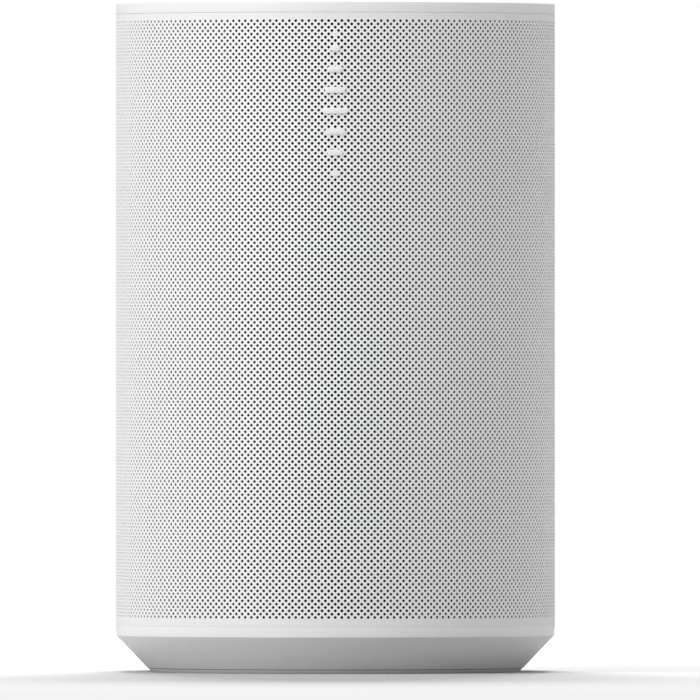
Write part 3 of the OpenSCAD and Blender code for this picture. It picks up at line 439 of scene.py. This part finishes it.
def make_materials():
    """A material for each slot of the record, and one more for the sheet's plain rims."""
    m = {}

    def add(slot, *args, **values):
        m[slot] = surface(slot, *args, **values)

    add("shell_white", "grain", grey(0.93), grey(0.9, 0.003), 0.5, scale=2600, spread=0.1, bump=0.15)
    add("shell_white_rim", "grain", grey(0.88), grey(0.85, 0.003), 0.5, scale=2600, spread=0.1, bump=0.15)
    add("cap_white", "grain", grey(0.89), grey(0.87, 0.003), 0.42, scale=3200, spread=0.1, bump=0.08)
    add("base_white", "grain", grey(0.93), grey(0.9, 0.003), 0.45, scale=2600, spread=0.1, bump=0.12)
    add("badge_white", "grain", grey(0.93), grey(0.9), 0.28, scale=3000, spread=0.08, bump=0.05,
        Coat_Weight=0.3, Coat_Roughness=0.15)
    add("panel_white", "grain", grey(0.78), grey(0.75, 0.003), 0.48, scale=2200, bump=0.2)
    add("button_white", "grain", grey(0.84), grey(0.8, 0.003), 0.36, scale=3000, bump=0.08)
    add("foot_silicone", "grain", grey(0.76), grey(0.7), 0.72, scale=1500, spread=0.15, bump=0.25)
    add("acoustic_cloth", "weave", grey(0.003), grey(0.008), 0.95, scale=9000, bump=0.4,
        Specular_IOR_Level=0.05)
    add("light_pipe", "grain", grey(0.92), grey(0.86), 0.12, scale=900, spread=0.05, bump=0.02,
        Coat_Weight=0.5, Coat_Roughness=0.05)
    add("insert_brass", "brushed", (0.75, 0.52, 0.2), (0.6, 0.4, 0.15), 0.32, scale=4000, Metallic=1.0)
    add("screw_steel", "brushed", grey(0.6), grey(0.42), 0.3, scale=5000, spread=0.15, Metallic=1.0)
    add("board_green", "cells", (0.012, 0.11, 0.04), (0.03, 0.17, 0.06), 0.35, scale=700, bump=0.05)
    add("can_metal", "brushed", grey(0.72), grey(0.6), 0.28, scale=2500, Metallic=1.0)
    add("frame_grey", "grain", grey(0.06), grey(0.085), 0.55, scale=1800, bump=0.2)
    add("ribbon_amber", "brushed", (0.5, 0.2, 0.03), (0.38, 0.13, 0.02), 0.3, scale=900, bump=0.05)
    add("cabinet_black", "grain", grey(0.018), grey(0.03), 0.55, scale=1400, spread=0.15, bump=0.25)
    add("gasket_black", "cells", grey(0.012), grey(0.028), 0.9, scale=1800, bump=0.5)
    add("foam_grey", "cells", grey(0.16), grey(0.28), 0.97, scale=900, bump=0.9, depth=0.2)
    add("basket_black", "grain", grey(0.016), grey(0.03), 0.42, scale=900, spread=0.12, bump=0.3)
    add("pole_steel", "brushed", grey(0.58), grey(0.42), 0.34, scale=3000, spread=0.15, Metallic=1.0)
    add("ferrite", "cells", grey(0.03), grey(0.055), 0.6, scale=2400, spread=0.2, bump=0.3)
    add("surround_rubber", "grain", grey(0.012), grey(0.02), 0.5, scale=2200, bump=0.1)
    add("spider_cloth", "weave", (0.42, 0.27, 0.07), (0.26, 0.15, 0.035), 0.8, scale=5200, bump=0.6)
    add("cone_paper", "cells", grey(0.02), grey(0.045), 0.78, scale=1500, bump=0.4)
    add("coil_copper", "winding", (0.55, 0.2, 0.08), (0.3, 0.09, 0.03), 0.35, scale=1500, Metallic=0.9,
        bump=0.6, depth=0.05)
    add("dome_silk", "weave", grey(0.03), grey(0.06), 0.6, scale=12000, bump=0.3)
    add("motor_nickel", "brushed", (0.7, 0.68, 0.62), (0.55, 0.53, 0.48), 0.2, scale=3500, Metallic=1.0)
    add("chip_black", "cells", grey(0.01), grey(0.022), 0.5, scale=4000, bump=0.15)
    add("spreader_aluminium", "brushed", grey(0.74), grey(0.6), 0.34, scale=2600, Metallic=1.0)
    add("transformer_yellow", "winding", (0.7, 0.46, 0.03), (0.5, 0.3, 0.015), 0.4, scale=90, bump=0.3)
    add("capacitor_blue", "grain", (0.012, 0.018, 0.08), (0.02, 0.03, 0.12), 0.25, scale=600, bump=0.05)
    add("socket_black", "grain", grey(0.014), grey(0.024), 0.42, scale=2000, spread=0.12, bump=0.15)
    add("wire_red", "grain", (0.42, 0.02, 0.015), (0.3, 0.012, 0.01), 0.38, scale=900, bump=0.05)
    return m


materials = make_materials()


def dress_cad_nodes():
    """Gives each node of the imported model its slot's material."""
    for row in frame["record"]["subparts"]:
        mesh = frame["nodes"][row["node"]].data
        mesh.materials.clear()
        mesh.materials.append(materials[row["material_slot"]])


# ---------- the perforated sheet ----------


def hole_cell(bm, x, y):
    """One diamond of the sheet round one hole: its face and the hole's wall."""
    corners = [(x + PITCH / 2, y), (x, y + ROW_STEP), (x - PITCH / 2, y), (x, y - ROW_STEP)]
    rim = [
        (x + HOLE_R * math.cos(math.radians(45 * i)), y + HOLE_R * math.sin(math.radians(45 * i)))
        for i in range(8)
    ]
    outer = add_loop(bm, [(px, py, 0) for px, py in corners])
    inner = add_loop(bm, [(px, py, 0) for px, py in rim])
    fill(bm, outer, inner)
    grow(bm, inner, [(px, py, -SHEET_T) for px, py in rim])


def sheet_strip(first, columns):
    """A flat strip of holes, from its first column, as one mesh."""
    bm = bmesh.new()
    hole_cell(bm, 0, 0)
    hole_cell(bm, PITCH / 2, -ROW_STEP)
    bmesh.ops.remove_doubles(bm, verts=bm.verts, dist=1e-6)
    bmesh.ops.recalc_face_normals(bm, faces=bm.faces)
    if max(bm.faces, key=lambda f: abs(f.normal.z)).normal.z < 0:
        bmesh.ops.reverse_faces(bm, faces=bm.faces)
    bmesh.ops.translate(bm, verts=bm.verts, vec=(first * PITCH, TOP_ROW_Z, 0))
    obj = new_object("strip", to_mesh(bm, "strip", outward=False))
    rows = (HOLE_ROWS + 1) // 2
    for count, step in ((columns, (PITCH, 0, 0)), (rows, (0, -2 * ROW_STEP, 0))):
        array = obj.modifiers.new("repeat", "ARRAY")
        array.count = count
        array.use_relative_offset = False
        array.use_constant_offset = True
        array.constant_offset_displace = step
        array.use_merge_vertices = True
        array.merge_threshold = 2e-6
    bpy.context.view_layer.update()
    shown = obj.evaluated_get(bpy.context.evaluated_depsgraph_get())
    mesh = bpy.data.meshes.new_from_object(shown)
    bpy.data.objects.remove(obj)
    return mesh


def cell_middle(x, y):
    """The middle of the diamond that each point of the flat sheet lies in."""
    along, up = x / PITCH, (y - TOP_ROW_Z) / (2 * ROW_STEP)
    a, b = np.round(along + up), np.round(along - up)
    return (a + b) / 2 * PITCH, TOP_ROW_Z + (a - b) * ROW_STEP


def cut_away(mesh):
    """Leaves out the last half row and the holes behind the rear bezel."""
    centre = np.empty(len(mesh.polygons) * 3)
    mesh.polygons.foreach_get("center", centre)
    x, y = centre.reshape(-1, 3)[:, :2].T
    cell_x, cell_y = cell_middle(x, y)
    gone = (cell_y < LAST_ROW_Z - ROW_STEP / 2) | behind_bezel(cell_x, cell_y)
    if not gone.any():
        return
    bm = bmesh.new()
    bm.from_mesh(mesh)
    bm.faces.ensure_lookup_table()
    bmesh.ops.delete(bm, geom=[bm.faces[i] for i in np.nonzero(gone)[0]], context="FACES")
    bm.to_mesh(mesh)
    bm.free()


PANEL_LOW, PANEL_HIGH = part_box("io_panel")
PANEL_Z = (PANEL_LOW.z + PANEL_HIGH.z) / 2
PANEL_RUN = 48 * MM  # the straight run of the panel, its bezel and its window
BEZEL_W = 31 * MM
BEZEL_LAP = 1 * MM  # how far the bezel covers the sheet's cut edge


def behind_bezel(s, z):
    """True where a hole falls inside the rear bezel."""
    across = np.minimum(np.abs(s - PERIMETER / 2), np.abs(s + PERIMETER / 2))
    reach = BEZEL_W / 2 - BEZEL_LAP
    high = np.maximum(np.abs(z - PANEL_Z) - PANEL_RUN / 2, 0)
    return across ** 2 + high ** 2 < reach ** 2


def map_strip(mesh, first, columns):
    """Own UV: the strip laid flat, with each hole's wall shrunk towards its middle."""
    layer = mesh.uv_layers.new(name="OFBake")
    loops = np.empty(len(mesh.loops), np.int32)
    mesh.loops.foreach_get("vertex_index", loops)
    co = np.empty(len(mesh.vertices) * 3)
    mesh.vertices.foreach_get("co", co)
    x, y, z = co.reshape(-1, 3)[loops].T
    middle_x, middle_y = cell_middle(x, y)
    shrink = np.where(z < -SHEET_T / 2, 0.4, 1.0)
    x = middle_x + (x - middle_x) * shrink
    y = middle_y + (y - middle_y) * shrink
    margin = 2 * MM
    x = (x - (first - 0.6) * PITCH) / ((columns + 1.2) * PITCH)
    y = (y - LAST_ROW_Z + margin) / (TOP_ROW_Z - LAST_ROW_Z + 2 * margin)
    layer.data.foreach_set("uv", np.stack((x, y), 1).ravel())


def make_sheet():
    """The perforated sheet, as upright strips that meet along a zigzag."""
    start = -(HOLE_COLUMNS // 2)
    edges = [start + round(i * HOLE_COLUMNS / PANELS) for i in range(PANELS + 1)]
    for i, (a, b) in enumerate(zip(edges, edges[1:])):
        mesh = sheet_strip(a, b - a)
        cut_away(mesh)
        map_strip(mesh, a, b - a)
        wrap(mesh)
        finish_piece(
            f"grille_strip_{i + 1}", mesh, materials["shell_white"], "speaker",
            ["grille"], angle=50,
        )


def make_margins():
    """The plain rims of the sheet over its first row and under its last."""
    for name, z0, dip, z1, edge in (
        ("grille_rim_top", TOP_ROW_Z + ROW_STEP, -ROW_STEP, CAP_Z - 0.02 * MM, 0.06 * MM),
        ("grille_rim_bottom", LAST_ROW_Z - ROW_STEP, ROW_STEP, BASE_TOP + 0.005 * MM, 0.03 * MM),
    ):
        up = 1 if z1 > z0 else -1
        bm = bmesh.new()
        loops = [outline(0, z0, dip)]
        for inset, z in rounded(
            [(0, z1 - up * 0.6 * MM), (0, z1), (SHEET_T, z1), (SHEET_T, z1 - up * 1.2 * MM)], edge,
        ):
            loops.append(outline(inset, z))
        loft(bm, loops)
        mesh = to_mesh(bm, name)
        finish_piece(name, mesh, materials["shell_white_rim"], "speaker", ["grille"])


def cut(mesh, cutter):
    """The mesh less the cutter."""
    objects = [new_object(m.name, m) for m in (mesh, cutter)]
    modifier = objects[0].modifiers.new("cut", "BOOLEAN")
    modifier.object = objects[1]
    modifier.operation = "DIFFERENCE"
    modifier.solver = "EXACT"
    depsgraph = bpy.context.evaluated_depsgraph_get()
    made = bpy.data.meshes.new_from_object(objects[0].evaluated_get(depsgraph))
    for obj in objects:
        bpy.data.objects.remove(obj)
    return made


def make_liner():
    """Dark cloth close behind the holes, with a window for the rear panel."""
    bm = bmesh.new()
    front = SHEET_T + 0.05 * MM
    back = front + 1 * MM
    z0, z1 = BASE_TOP + 1 * MM, CAP_Z - 1 * MM
    loft(bm, [
        outline(front, z0), outline(front, z1), outline(back, z1), outline(back, z0), outline(front, z0),
    ])
    bmesh.ops.remove_doubles(bm, verts=bm.verts, dist=1e-7)
    window_w = 28.4 * MM
    window = bmesh.new()
    loft(window, [
        [Vector((x, y, z)) for x, z in pill(window_w, window_w + PANEL_RUN, 0, PANEL_Z)]
        for y in (BACK_Y - 8 * MM, BACK_Y + 4 * MM)
    ], close_first=True, close_last=True)
    mesh = cut(to_mesh(bm, "acoustic_cloth"), to_mesh(window, "window"))
    cloth = finish_piece(
        "acoustic_cloth", mesh, materials["acoustic_cloth"], "speaker",
        ["grille_liner"],
    )


# ---------- cap, base and foot ----------


def sunk_pill(bm, run, x, y, profile, steps):
    """A closed hollow in the cap's top, in millimetres, from (width, drop) pairs; gives back its rim."""
    return loft(bm, [
        [
            (px, py, TOP_Z - drop * MM)
            for px, py in pill(w * MM, (w - run) * MM, x * MM, ARC_Y + y * MM, steps)
        ]
        for w, drop in profile
    ], close_last=True)[0]


def make_cap():
    """The top plate: crisp edges, a tucked-in lower rim, a dished trough and four ports."""
    bm = bmesh.new()
    low = CAP_Z + 0.03 * MM
    tuck = 3.2 * MM
    profile = rounded(
        [
            (tuck, low - 2.4 * MM), (tuck, low), (0.06 * MM, low), (0, low + 0.06 * MM), (0, TOP_Z),
            (1.5 * MM, TOP_Z),
        ],
        0.18 * MM,
    )
    made = loft(bm, [outline(inset, z) for inset, z in profile])
    dish = (
        (58.4, 0), (58.1, 0.06), (57.9, 0.2), (57.0, 0.55), (55.4, 0.82), (53.2, 0.96), (50.0, 1.0),
    )
    holes = [sunk_pill(bm, 45, 0, -10, dish, 14)]
    for x in (-34, 34):
        for y in (-20, 36):
            holes.append(sunk_pill(bm, 0, x, y, ((1.04, 0), (0.9, 0.06), (0.9, 1.6)), 5))
    fill(bm, made[-1], *holes)
    mesh = to_mesh(bm, "top_cap")
    finish_piece("top_cap", mesh, materials["cap_white"], "speaker", ["top_cover"], angle=30)


FOOT_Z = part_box("foot_pad")[1].z
CHAMFER_Z = 9.95 * MM
CHAMFER_IN = 9.75 * MM
BAND_IN = 0.25 * MM  # how far the band's lower edge stands in


def chamfer_inset(z):
    """How far the chamfer stands in from the body's side at a height."""
    return CHAMFER_IN * (1 - z / CHAMFER_Z) + BAND_IN * z / CHAMFER_Z


def round_hole(bm, width, z):
    """A loop round the insert's axis."""
    return add_loop(bm, [(x, y, z) for x, y in pill(width, width, 0, 0, 12)])


def make_base():
    """The base's outer shell: a narrow upright band over the 45 degree chamfer."""
    bm = bmesh.new()
    low = FOOT_Z + 0.1 * MM
    top = BASE_TOP - 0.005 * MM
    profile = rounded(
        [
            (chamfer_inset(low) + 3 * MM, low), (chamfer_inset(low), low), (BAND_IN, CHAMFER_Z),
            (0, top - 0.03 * MM), (0.03 * MM, top), (3 * MM, top), (3 * MM, top + 2.4 * MM),
        ],
        0.16 * MM,
    )
    made = loft(bm, [outline(inset, z) for inset, z in profile])
    fill(bm, made[0], round_hole(bm, 10.3 * MM, low))
    mesh = to_mesh(bm, "base_shell")
    finish_piece("base_shell", mesh, materials["base_white"], "speaker", ["base_housing"])


def make_foot():
    """The silicone foot, with a soft lower edge and a shallow groove below."""
    bm = bmesh.new()
    top = FOOT_Z - 0.02 * MM
    inner = chamfer_inset(0)
    profile = rounded(
        [
            (inner + 6 * MM, top), (chamfer_inset(top) + 0.1 * MM, top), (inner + 0.1 * MM, 0),
            (inner + 2.2 * MM, 0),
        ],
        0.1 * MM,
    )
    profile += [(inner + 2.5 * MM, 0.3 * MM), (inner + 3.1 * MM, 0.3 * MM), (inner + 3.4 * MM, 0)]
    made = loft(bm, [outline(inset, z) for inset, z in profile])
    bore = round_hole(bm, 12 * MM, 0)
    fill(bm, made[-1], bore)
    grow(bm, bore, [(v.co.x, v.co.y, top) for v in bore])
    mesh = to_mesh(bm, "foot_ring")
    finish_piece("foot_ring", mesh, materials["foot_silicone"], "speaker", ["foot_pad"])


# ---------- badge ----------

BADGE_BARS = 7
BADGE_W = 7 * MM
BADGE_BAR_T = 1.7 * MM
BADGE_STEP = 5.65 * MM  # from one bar to the next
BADGE_TOP = CAP_Z - 9 * MM
BADGE_RISE = 0.55 * MM


def make_badge():
    """Seven raised bars that follow the sheet's curve."""
    bars = []
    half = (BADGE_BARS - 1) / 2
    for i in range(BADGE_BARS):
        length = BADGE_W * (1 - 0.62 * abs(i - half) / half)
        z = BADGE_TOP - BADGE_BAR_T / 2 - i * BADGE_STEP
        bm = bmesh.new()
        loops = []
        for shrink, out in ((0, -0.75), (0, -0.16), (0.05, -0.06), (0.16, 0)):
            shape = pill(length - 2 * shrink * MM, BADGE_BAR_T - 2 * shrink * MM, 0, z, 6)
            loops.append([(x, y, BADGE_RISE + out * MM) for x, y in shape])
        loft(bm, loops, close_last=True)
        bmesh.ops.triangulate(bm, faces=[f for f in bm.faces if len(f.verts) > 4])
        bars.append(bm)
    mesh = join("badge_bars", bars)
    wrap(mesh)
    finish_piece("badge_bars", mesh, materials["badge_white"], "speaker", ["badge"])


# ---------- rear panel ----------

FACE_Y = BACK_Y - 0.6 * MM  # the rear panel's face
INLET_Z, USB_Z, SWITCH_Z, BUTTON_Z = 34, 52, 66, 80  # heights of the controls, in millimetres
SWITCH_X = -1.25  # the slider at rest is at one end of its travel
RUN = PANEL_RUN / MM


def rear_loop(width, height, out, x=0.0, z=None, steps=16):
    """A rounded bar on the rear panel, in millimetres, at a distance out from its face."""
    middle = PANEL_Z if z is None else z * MM
    shape = pill(width * MM, height * MM, x * MM, middle, steps)
    return [Vector((px, FACE_Y + out * MM, pz)) for px, pz in shape]


def make_bezel():
    """The raised rim round the panel, which covers the sheet's cut edge."""
    bm = bmesh.new()
    loft(bm, [
        rear_loop(w, w + RUN, out, steps=24)
        for w, out in (
            (26.0, -1.2), (26.0, 0.7), (26.06, 0.84), (26.25, 0.92), (30.5, 0.92), (30.8, 0.84),
            (30.95, 0.7), (31.1, 0.2),
        )
    ])
    mesh = to_mesh(bm, "rear_bezel")
    finish_piece("rear_bezel", mesh, materials["panel_white"], "speaker")


def make_rear_panel():
    """The panel's plate, with a softened edge round each opening."""
    bm = bmesh.new()
    outer = loft(bm, [
        rear_loop(w, w + RUN, out, steps=24) for w, out in ((25.9, -2.8), (25.9, -0.12), (25.66, 0.0))
    ])[-1]
    softened = ((0.14, 0), (0.04, -0.05), (0, -0.14), (0, -2.6))  # wider by, and out
    inlet = [block_loop(18.3 + 2 * g, 14.3 + 2 * g, 0.5 + g, out, INLET_Z) for g, out in softened]
    holes = [loft(bm, inlet)[0]]
    for width, height, z in ((9.3, 3.6, USB_Z), (7.7, 4.2, SWITCH_Z), (9.6, 9.6, BUTTON_Z)):
        loops = [rear_loop(width + 2 * g, height + 2 * g, out, 0, z, 10) for g, out in softened]
        holes.append(loft(bm, loops)[0])
    fill(bm, outer, *holes)
    mesh = to_mesh(bm, "rear_panel")
    finish_piece("rear_panel", mesh, materials["panel_white"], "speaker", ["io_panel"])


def block_loop(width, height, corner, out, z):
    """A rectangle with round corners on the rear panel, in millimetres."""
    points = []
    for i in range(32):
        a = 2 * math.pi * (i + 0.5) / 32
        px = math.copysign(width / 2 - corner, math.cos(a)) + corner * math.cos(a)
        pz = math.copysign(height / 2 - corner, math.sin(a)) + corner * math.sin(a)
        points.append(Vector((px * MM, FACE_Y + out * MM, (z + pz) * MM)))
    return points


def make_inlet_collar():
    """A raised lip round the mouth of the mains socket."""
    bm = bmesh.new()
    loft(bm, [
        rear_loop(w, w - 7.4, out, 0, INLET_Z, 14)
        for w, out in ((15.6, -1.0), (15.6, 0.1), (15.75, 0.2), (16.5, 0.2), (16.7, 0.1), (16.7, -0.2))
    ])
    mesh = to_mesh(bm, "inlet_collar")
    finish_piece("inlet_collar", mesh, materials["socket_black"], "speaker")


def make_button():
    """The pairing button: a dished face, its collar and its stem."""
    profile = (
        (0, -9.45), (1.35, -9.45), (1.5, -9.3), (1.5, -4.45), (5.6, -4.45), (5.6, -3.25), (4.5, -3.25),
        (4.5, 0.06), (4.44, 0.2), (4.3, 0.28), (4.1, 0.3), (3.0, 0.22), (1.5, 0.15), (0, 0.13),
    )
    bm = turned([(r * MM, h * MM) for r, h in profile], 64, (0, 1, 0), (0, FACE_Y, BUTTON_Z * MM))
    mesh = to_mesh(bm, "pairing_button_cap")
    finish_piece(
        "pairing_button_cap", mesh, materials["button_white"], "pairing_button",
        ["pair_button"],
    )


def make_knob():
    """The microphone slider: a dished grip on a flat shoe."""
    grip = bmesh.new()
    loft(grip, [
        rear_loop(w, w - 1.1, out, SWITCH_X, SWITCH_Z, 10)
        for w, out in (
            (4.5, -3.8), (4.5, 0.12), (4.44, 0.24), (4.25, 0.3), (3.5, 0.3), (3.1, 0.2), (2.2, 0.1),
            (1.6, 0.08),
        )
    ], close_first=True, close_last=True)
    shoe = bmesh.new()
    bmesh.ops.create_cube(shoe, size=1)
    bmesh.ops.scale(shoe, verts=shoe.verts, vec=(7.5 * MM, 3.05 * MM, 6 * MM))
    bmesh.ops.translate(shoe, verts=shoe.verts, vec=(SWITCH_X * MM, FACE_Y - 4.725 * MM, SWITCH_Z * MM))
    bmesh.ops.bevel(
        shoe, geom=shoe.edges[:], offset=0.2 * MM, segments=2, affect="EDGES", profile=0.5, material=-1,
    )
    mesh = join("microphone_slider_grip", [grip, shoe])
    finish_piece(
        "microphone_slider_grip", mesh, materials["button_white"], "microphone_slider",
        ["mic_switch_knob"],
    )


def make_marks():
    """Small printed signs by the controls: rings, bars and a dot that say nothing."""
    signs = []
    beside = 7.4
    over_button, over_usb = BUTTON_Z + 7.6, USB_Z + 3.6
    rings = ((-beside, SWITCH_Z, 1.5), (beside, SWITCH_Z, 1.5), (0, over_button, 2.0))
    bars = ((beside, SWITCH_Z, 0.3, 2.4), (0, over_usb, 2.4, 0.35), (0, over_button, 0.5, 0.5))
    for x, z, outer in rings:
        inner = outer - 0.6
        bm = bmesh.new()
        profile = ((outer, 0.0), (outer, 0.02), (inner, 0.02), (inner, 0))
        loft(bm, [rear_loop(w, w, out, x, z, 8) for w, out in profile])
        signs.append(bm)
    for x, z, width, height in bars:
        bm = bmesh.new()
        loft(bm, [rear_loop(width, height, out, x, z, 6) for out in (0.0, 0.03)], close_last=True)
        signs.append(bm)
    finish_piece("rear_marks", join("rear_marks", signs), materials["frame_grey"], "speaker")


# ---------- soft parts of the woofer and the button ----

WOOFER_Z = sum(corner.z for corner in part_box("woofer_basket")) / 2
SECTORS = 8


def half_width(node):
    low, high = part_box(node)
    return (high.x - low.x) / 2


def flexing_ring(name, profile, back_y, slot):
    """A ring round the woofer's axis, in sectors that belong to no body."""
    half = math.pi / SECTORS
    middle = Vector((0, back_y, WOOFER_Z))
    for i in range(SECTORS):
        bm = bmesh.new()
        add_loop(bm, [(r, -h, 0) for r, h in profile])
        bmesh.ops.spin(
            bm, geom=bm.verts[:] + bm.edges[:], cent=(0, 0, 0), axis=(0, 1, 0),
            angle=2 * half, steps=12,
        )
        turn = Matrix.Rotation(2 * half * i, 4, "Y")
        bmesh.ops.transform(bm, matrix=Matrix.Translation(middle) @ turn, verts=bm.verts)
        mesh = to_mesh(bm, name)
        piece = finish_piece(f"{name}_{i + 1}", mesh, materials[slot], None, [name])
        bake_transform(piece)


def make_spider():
    """The corrugated cloth ring that centres the coil."""
    low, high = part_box("woofer_spider")
    outer, coil_r = half_width("woofer_spider"), half_width("voice_coil")
    sheet = 0.5 * MM
    wave = (high.y - low.y - sheet) / 2
    first, last = coil_r + 0.8 * MM, outer - 2.8 * MM
    crest = [(coil_r, 0)]
    for i in range(25):
        crest.append((first + (last - first) * i / 24, wave * math.sin(2 * math.pi * i / 8)))
    crest.append((outer, 0))
    profile = crest + [(r, h + sheet) for r, h in reversed(crest)]
    flexing_ring("woofer_spider", profile, high.y - wave, "spider_cloth")


def make_surround():
    """The rubber half roll round the cone."""
    low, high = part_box("woofer_surround")
    sheet = 0.6 * MM
    outer = half_width("woofer_surround")
    roll = high.y - low.y - sheet
    middle = outer - 2 * roll
    inner = middle - roll - 1.6 * MM
    under = [(middle - roll * math.cos(a), roll * math.sin(a)) for a in np.linspace(0, math.pi, 17)]
    over = [
        (middle + (roll + sheet) * math.cos(a), max(sheet, (roll + sheet) * math.sin(a)))
        for a in np.linspace(0.17, math.pi - 0.17, 17)
    ]
    profile = [(inner, 0), *under, (outer, 0), (outer, sheet), *over, (inner, sheet)]
    flexing_ring(
        "woofer_surround", profile, high.y, "surround_rubber",
    )


def make_button_dome():
    """The sprung dome under the pairing button, in one fixed shape; the real one flattens as the button
    goes in.
    """
    low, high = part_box("button_dome")
    tall = high.y - low.y
    profile = [
        (0, tall - 0.2 * MM), (0.7 * MM, tall - 0.2 * MM), (1.5 * MM, 0), (2.3 * MM, 0),
        (2.3 * MM, 0.2 * MM), (1.6 * MM, 0.2 * MM), (0.8 * MM, tall), (0, tall),
    ]
    bm = turned(profile, 32, (0, 1, 0), (0, low.y, (low.z + high.z) / 2))
    piece = finish_piece(
        "button_dome_spring", to_mesh(bm, "button_dome_spring"), materials["can_metal"], "speaker",
        ["button_dome"],
    )
    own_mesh(piece)


# ---------- floor, light and camera ----------

LIGHTS_AWAY = 2.3
LIGHTS_UP = 1.95
LIGHTS_AIM_Z = 0.09

FLOOR_R = 6.0
FLOOR_DROP = 0.00002  # keeps the floor clear of the foot's lower face
GLOW_STARTS = 0.5
GLOW_FULL = 1.0


def grey_paint(value):
    return (value, value, value, 1)


def floor_material():
    """White to the camera, dimmer to the object, and plain white again far out."""
    material = bpy.data.materials.new("floor_white")
    material.use_nodes = True
    tree = material.node_tree
    tree.nodes.clear()
    g = Graph(tree)
    path = g.node("ShaderNodeLightPath")
    white = g.node("ShaderNodeBsdfDiffuse", Color=grey_paint(0.555))
    dim = g.node("ShaderNodeBsdfDiffuse", Color=grey_paint(0.35))
    seen = path.outputs["Is Camera Ray"]
    near = g.mix(seen, dim.outputs[0], white.outputs[0])
    place = g.node("ShaderNodeTexCoord")
    length = g.node("ShaderNodeVectorMath", Vector=place.outputs["Object"])
    length.operation = "LENGTH"
    far = g.node("ShaderNodeMapRange", Value=length.outputs["Value"])
    far.interpolation_type = "SMOOTHSTEP"
    g.feed(far, {"From_Min": GLOW_STARTS, "From_Max": GLOW_FULL})
    glow = g.node("ShaderNodeEmission", Color=grey_paint(1), Strength=1.0)
    out = g.node("ShaderNodeOutputMaterial")
    tree.links.new(
        g.mix(g.math("MULTIPLY", far.outputs[0], seen), near, glow.outputs[0]), out.inputs["Surface"],
    )
    return material


def make_floor():
    bm = bmesh.new()
    bmesh.ops.create_circle(bm, cap_ends=True, segments=64, radius=FLOOR_R)
    bmesh.ops.translate(bm, verts=bm.verts, vec=(0, 0, -FLOOR_DROP))
    mesh = to_mesh(bm, "floor", outward=False)
    mesh.materials.append(floor_material())
    floor = new_object("floor", mesh)
    return floor


def area_light(name, place, size, watts):
    """A square light that faces the middle of the speaker."""
    data = bpy.data.lights.new(name, "AREA")
    data.shape = "SQUARE"
    data.size = size
    data.energy = watts
    obj = new_object(name, data)
    obj.location = place
    facing = Vector((0, 0, LIGHTS_AIM_Z)) - Vector(place)
    obj.rotation_euler = facing.to_track_quat("-Z", "Y").to_euler()
    return obj


def make_world(strength):
    """Plain white to the camera, and dimmer as a light."""
    world = bpy.data.worlds.new("studio")
    bpy.context.scene.world = world
    world.use_nodes = True
    tree = world.node_tree
    tree.nodes.clear()
    g = Graph(tree)
    path = g.node("ShaderNodeLightPath")
    soft = g.node("ShaderNodeBackground", Color=grey_paint(1), Strength=strength)
    seen = g.node("ShaderNodeBackground", Color=grey_paint(1), Strength=1.0)
    out = g.node("ShaderNodeOutputWorld")
    tree.links.new(
        g.mix(path.outputs["Is Camera Ray"], soft.outputs[0], seen.outputs[0]), out.inputs["Surface"],
    )


def make_lights(floor):
    """A key light at the front left, a weak one behind, and one behind for the floor alone."""
    area_light("key", (-LIGHTS_AWAY, -LIGHTS_AWAY, LIGHTS_UP), 2.4, 76)
    behind = (0, LIGHTS_AWAY, LIGHTS_UP)
    area_light("back", behind, 1.2, 18)
    floor_light = area_light("floor_only", behind, 1.2, 130)
    lit = bpy.data.collections.new("floor_only")
    lit.objects.link(floor)
    floor_light.light_linking.receiver_collection = lit
    make_world(0.63)


CAMERA_AWAY = 8.0
VIEW_W = 0.1914  # width of the view at the middle of the front half circle
SENSOR_W = 36  # a camera's own width of sensor, in millimetres


def make_camera():
    """Level, square to the front, and far enough off that the rows stay straight."""
    data = bpy.data.cameras.new("camera")
    data.lens = SENSOR_W * CAMERA_AWAY / VIEW_W
    data.clip_start = 0.05
    data.clip_end = 60
    obj = new_object("camera", data)
    obj.location = (0.004, ARC_Y - CAMERA_AWAY, 0.0880)
    obj.rotation_euler = (math.pi / 2, 0, 0)
    bpy.context.scene.camera = obj


dress_cad_nodes()
make_sheet()
make_margins()
make_liner()
make_cap()
make_base()
make_foot()
make_badge()
make_bezel()
make_rear_panel()
make_inlet_collar()
make_button()
make_knob()
make_marks()
make_spider()
make_surround()
make_button_dome()
make_lights(make_floor())
make_camera()
bpy.context.scene.view_settings.view_transform = "Standard"
